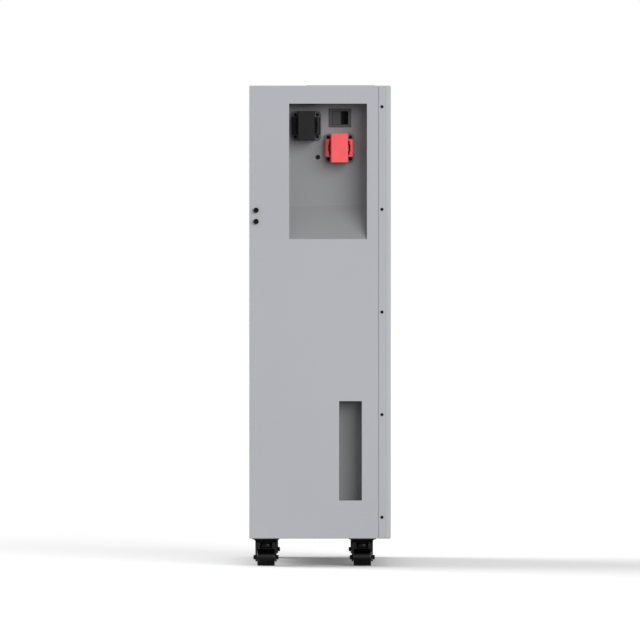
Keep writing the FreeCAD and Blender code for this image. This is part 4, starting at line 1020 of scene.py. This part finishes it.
makeCabinetBody()
makeCoverPanel()
makeTopPlate()
makeCoverScrews()
print("cabinet modelled")
makeTerminalPocket()
makeGripPocket("gripPocketLeft", "grip_pocket_left", -1)
makeGripPocket("gripPocketRight", "grip_pocket_right", 1)
makeBracketScrews()
makeRivetNuts()
makeTerminalBase("negative", blackFinish)
makeTerminalBase("positive", redFinish)
makeTerminalCap("negative", blackFinish)
makeTerminalCap("positive", redFinish)
makeTerminalScrews()
makeSwitchHousing()
makeRocker()
print("pocket filled")
makeCasters()
print("casters modelled")

# Inner pieces keep their own shapes and get the finish of the real ones

innerFinishes = {
    "post_brass": metalFinish("machinedBrass", (0.72, 0.53, 0.25), 0.3, grainScale=(400, 40, 40)),
    "bar_copper": metalFinish("bareCopper", (0.78, 0.38, 0.24), 0.35, grainScale=(60, 300, 60)),
    "tray_steel": metalFinish("galvanisedSteel", (0.5, 0.52, 0.53), 0.4, grainScale=(40, 40, 40),
                              spread=0.15),
    "cell_case": cellWrap("blueCellFilm", (0.03, 0.12, 0.34)),
    "link_aluminium": metalFinish("stripAluminium", (0.78, 0.79, 0.8), 0.3, grainScale=(500, 500, 60)),
    "insulator_film": mouldedPlastic("insulatorSheet", (0.6, 0.56, 0.42), 0.6),
    "clamp_aluminium": metalFinish("plateAluminium", (0.72, 0.73, 0.74), 0.35, grainScale=(600, 40, 40)),
    "fuse_insulator": mouldedPlastic("fuseMoulding", (0.05, 0.04, 0.035), 0.5),
    "fuse_body": metalFinish("fuseMetal", (0.6, 0.6, 0.57), 0.35),
    "board_green": boardMask("boardMask", (0.012, 0.12, 0.045), (0.02, 0.2, 0.08)),
    "heatsink_aluminium": metalFinish("extrudedAluminium", (0.7, 0.71, 0.72), 0.35,
                                      grainScale=(40, 600, 40)),
    "screw_steel": metalFinish("zincScrewSteel", (0.6, 0.6, 0.58), 0.35),
}
slotOfNode = {entry["node"]: entry["material_slot"] for entry in frame["record"]["subparts"]}
for nodeName, node in frame["nodes"].items():
    finish = innerFinishes.get(slotOfNode[nodeName])
    if finish and not node.hide_render:
        node.data.materials.clear()
        node.data.materials.append(finish)
print("inner pieces finished")

# Floor, light and camera

stage = {"floorSize": 400, "floorBounce": (0.3, 0.3, 0.3), "floorSeen": (1.0, 1.0, 1.0, 1.0),
         "skySeen": (1.0, 1.0, 1.0, 1.0), "skyLight": (1.0, 1.0, 1.0, 1.0), "skyStrength": 0.58}
lampDistance = 4
keyLamp = {"from": (-0.84, -0.57, 0.22), "softness": 50, "strength": 2.45}
rearLamp = {"from": (0.22, 0.62, 0.25), "softness": 45, "strength": 2.6}
viewpoint = {"place": (-10.62, 0.0, 0.436), "lens": 331.0, "sensor": 36, "clipEnd": 200}


def splitByCamera(nodes, links, lit, seen, output):
    # The camera sees one shader, and everything else gets the light of the other.
    rays = nodes.new("ShaderNodeLightPath")
    mix = nodes.new("ShaderNodeMixShader")
    links.new(rays.outputs["Is Camera Ray"], mix.inputs["Fac"])
    links.new(lit, mix.inputs[1])
    links.new(seen, mix.inputs[2])
    links.new(mix.outputs["Shader"], output)


def makeFloor():
    # The floor looks white, but throws back less light than it shows.
    deselectAll()
    bpy.ops.mesh.primitive_plane_add(size=stage["floorSize"])
    floor = nameLast("floor")
    finish = Finish("paleFloor", roughness=1.0, specular=0)
    finish.tint(finish.noise(scale=0.7), shades(stage["floorBounce"], spread=0.01))
    seen = finish.nodes.new("ShaderNodeBsdfDiffuse")
    seen.inputs["Color"].default_value = stage["floorSeen"]
    splitByCamera(finish.nodes, finish.links, finish.shader.outputs["BSDF"], seen.outputs["BSDF"],
                  finish.nodes["Material Output"].inputs["Surface"])
    floor.data.materials.append(finish.material)


def makeWorld():
    world = bpy.data.worlds.new("studio")
    bpy.context.scene.world = world
    world.use_nodes = True
    nodes, links = world.node_tree.nodes, world.node_tree.links
    lit = nodes["Background"]
    lit.inputs["Color"].default_value = stage["skyLight"]
    lit.inputs["Strength"].default_value = stage["skyStrength"]
    seen = nodes.new("ShaderNodeBackground")
    seen.inputs["Color"].default_value = stage["skySeen"]
    splitByCamera(nodes, links, lit.outputs["Background"], seen.outputs["Background"],
                  nodes["World Output"].inputs["Surface"])


def makeLamp(name, lamp):
    bpy.ops.object.light_add(type="SUN", location=[lampDistance * value for value in lamp["from"]])
    light = bpy.context.object
    light.name = name
    light.data.angle = math.radians(lamp["softness"])
    light.data.energy = lamp["strength"]
    light.rotation_euler = Vector(lamp["from"]).to_track_quat("Z", "Y").to_euler()


def makeCamera():
    bpy.ops.object.camera_add(location=viewpoint["place"], rotation=(math.pi / 2, 0, -math.pi / 2))
    camera = bpy.context.object
    camera.data.lens = viewpoint["lens"]
    camera.data.sensor_width = viewpoint["sensor"]
    camera.data.clip_end = viewpoint["clipEnd"]
    bpy.context.scene.camera = camera


makeFloor()
makeWorld()
makeLamp("keyLamp", keyLamp)
makeLamp("rearLamp", rearLamp)
makeCamera()
bpy.context.scene.view_settings.view_transform = "Standard"
print("stage set")
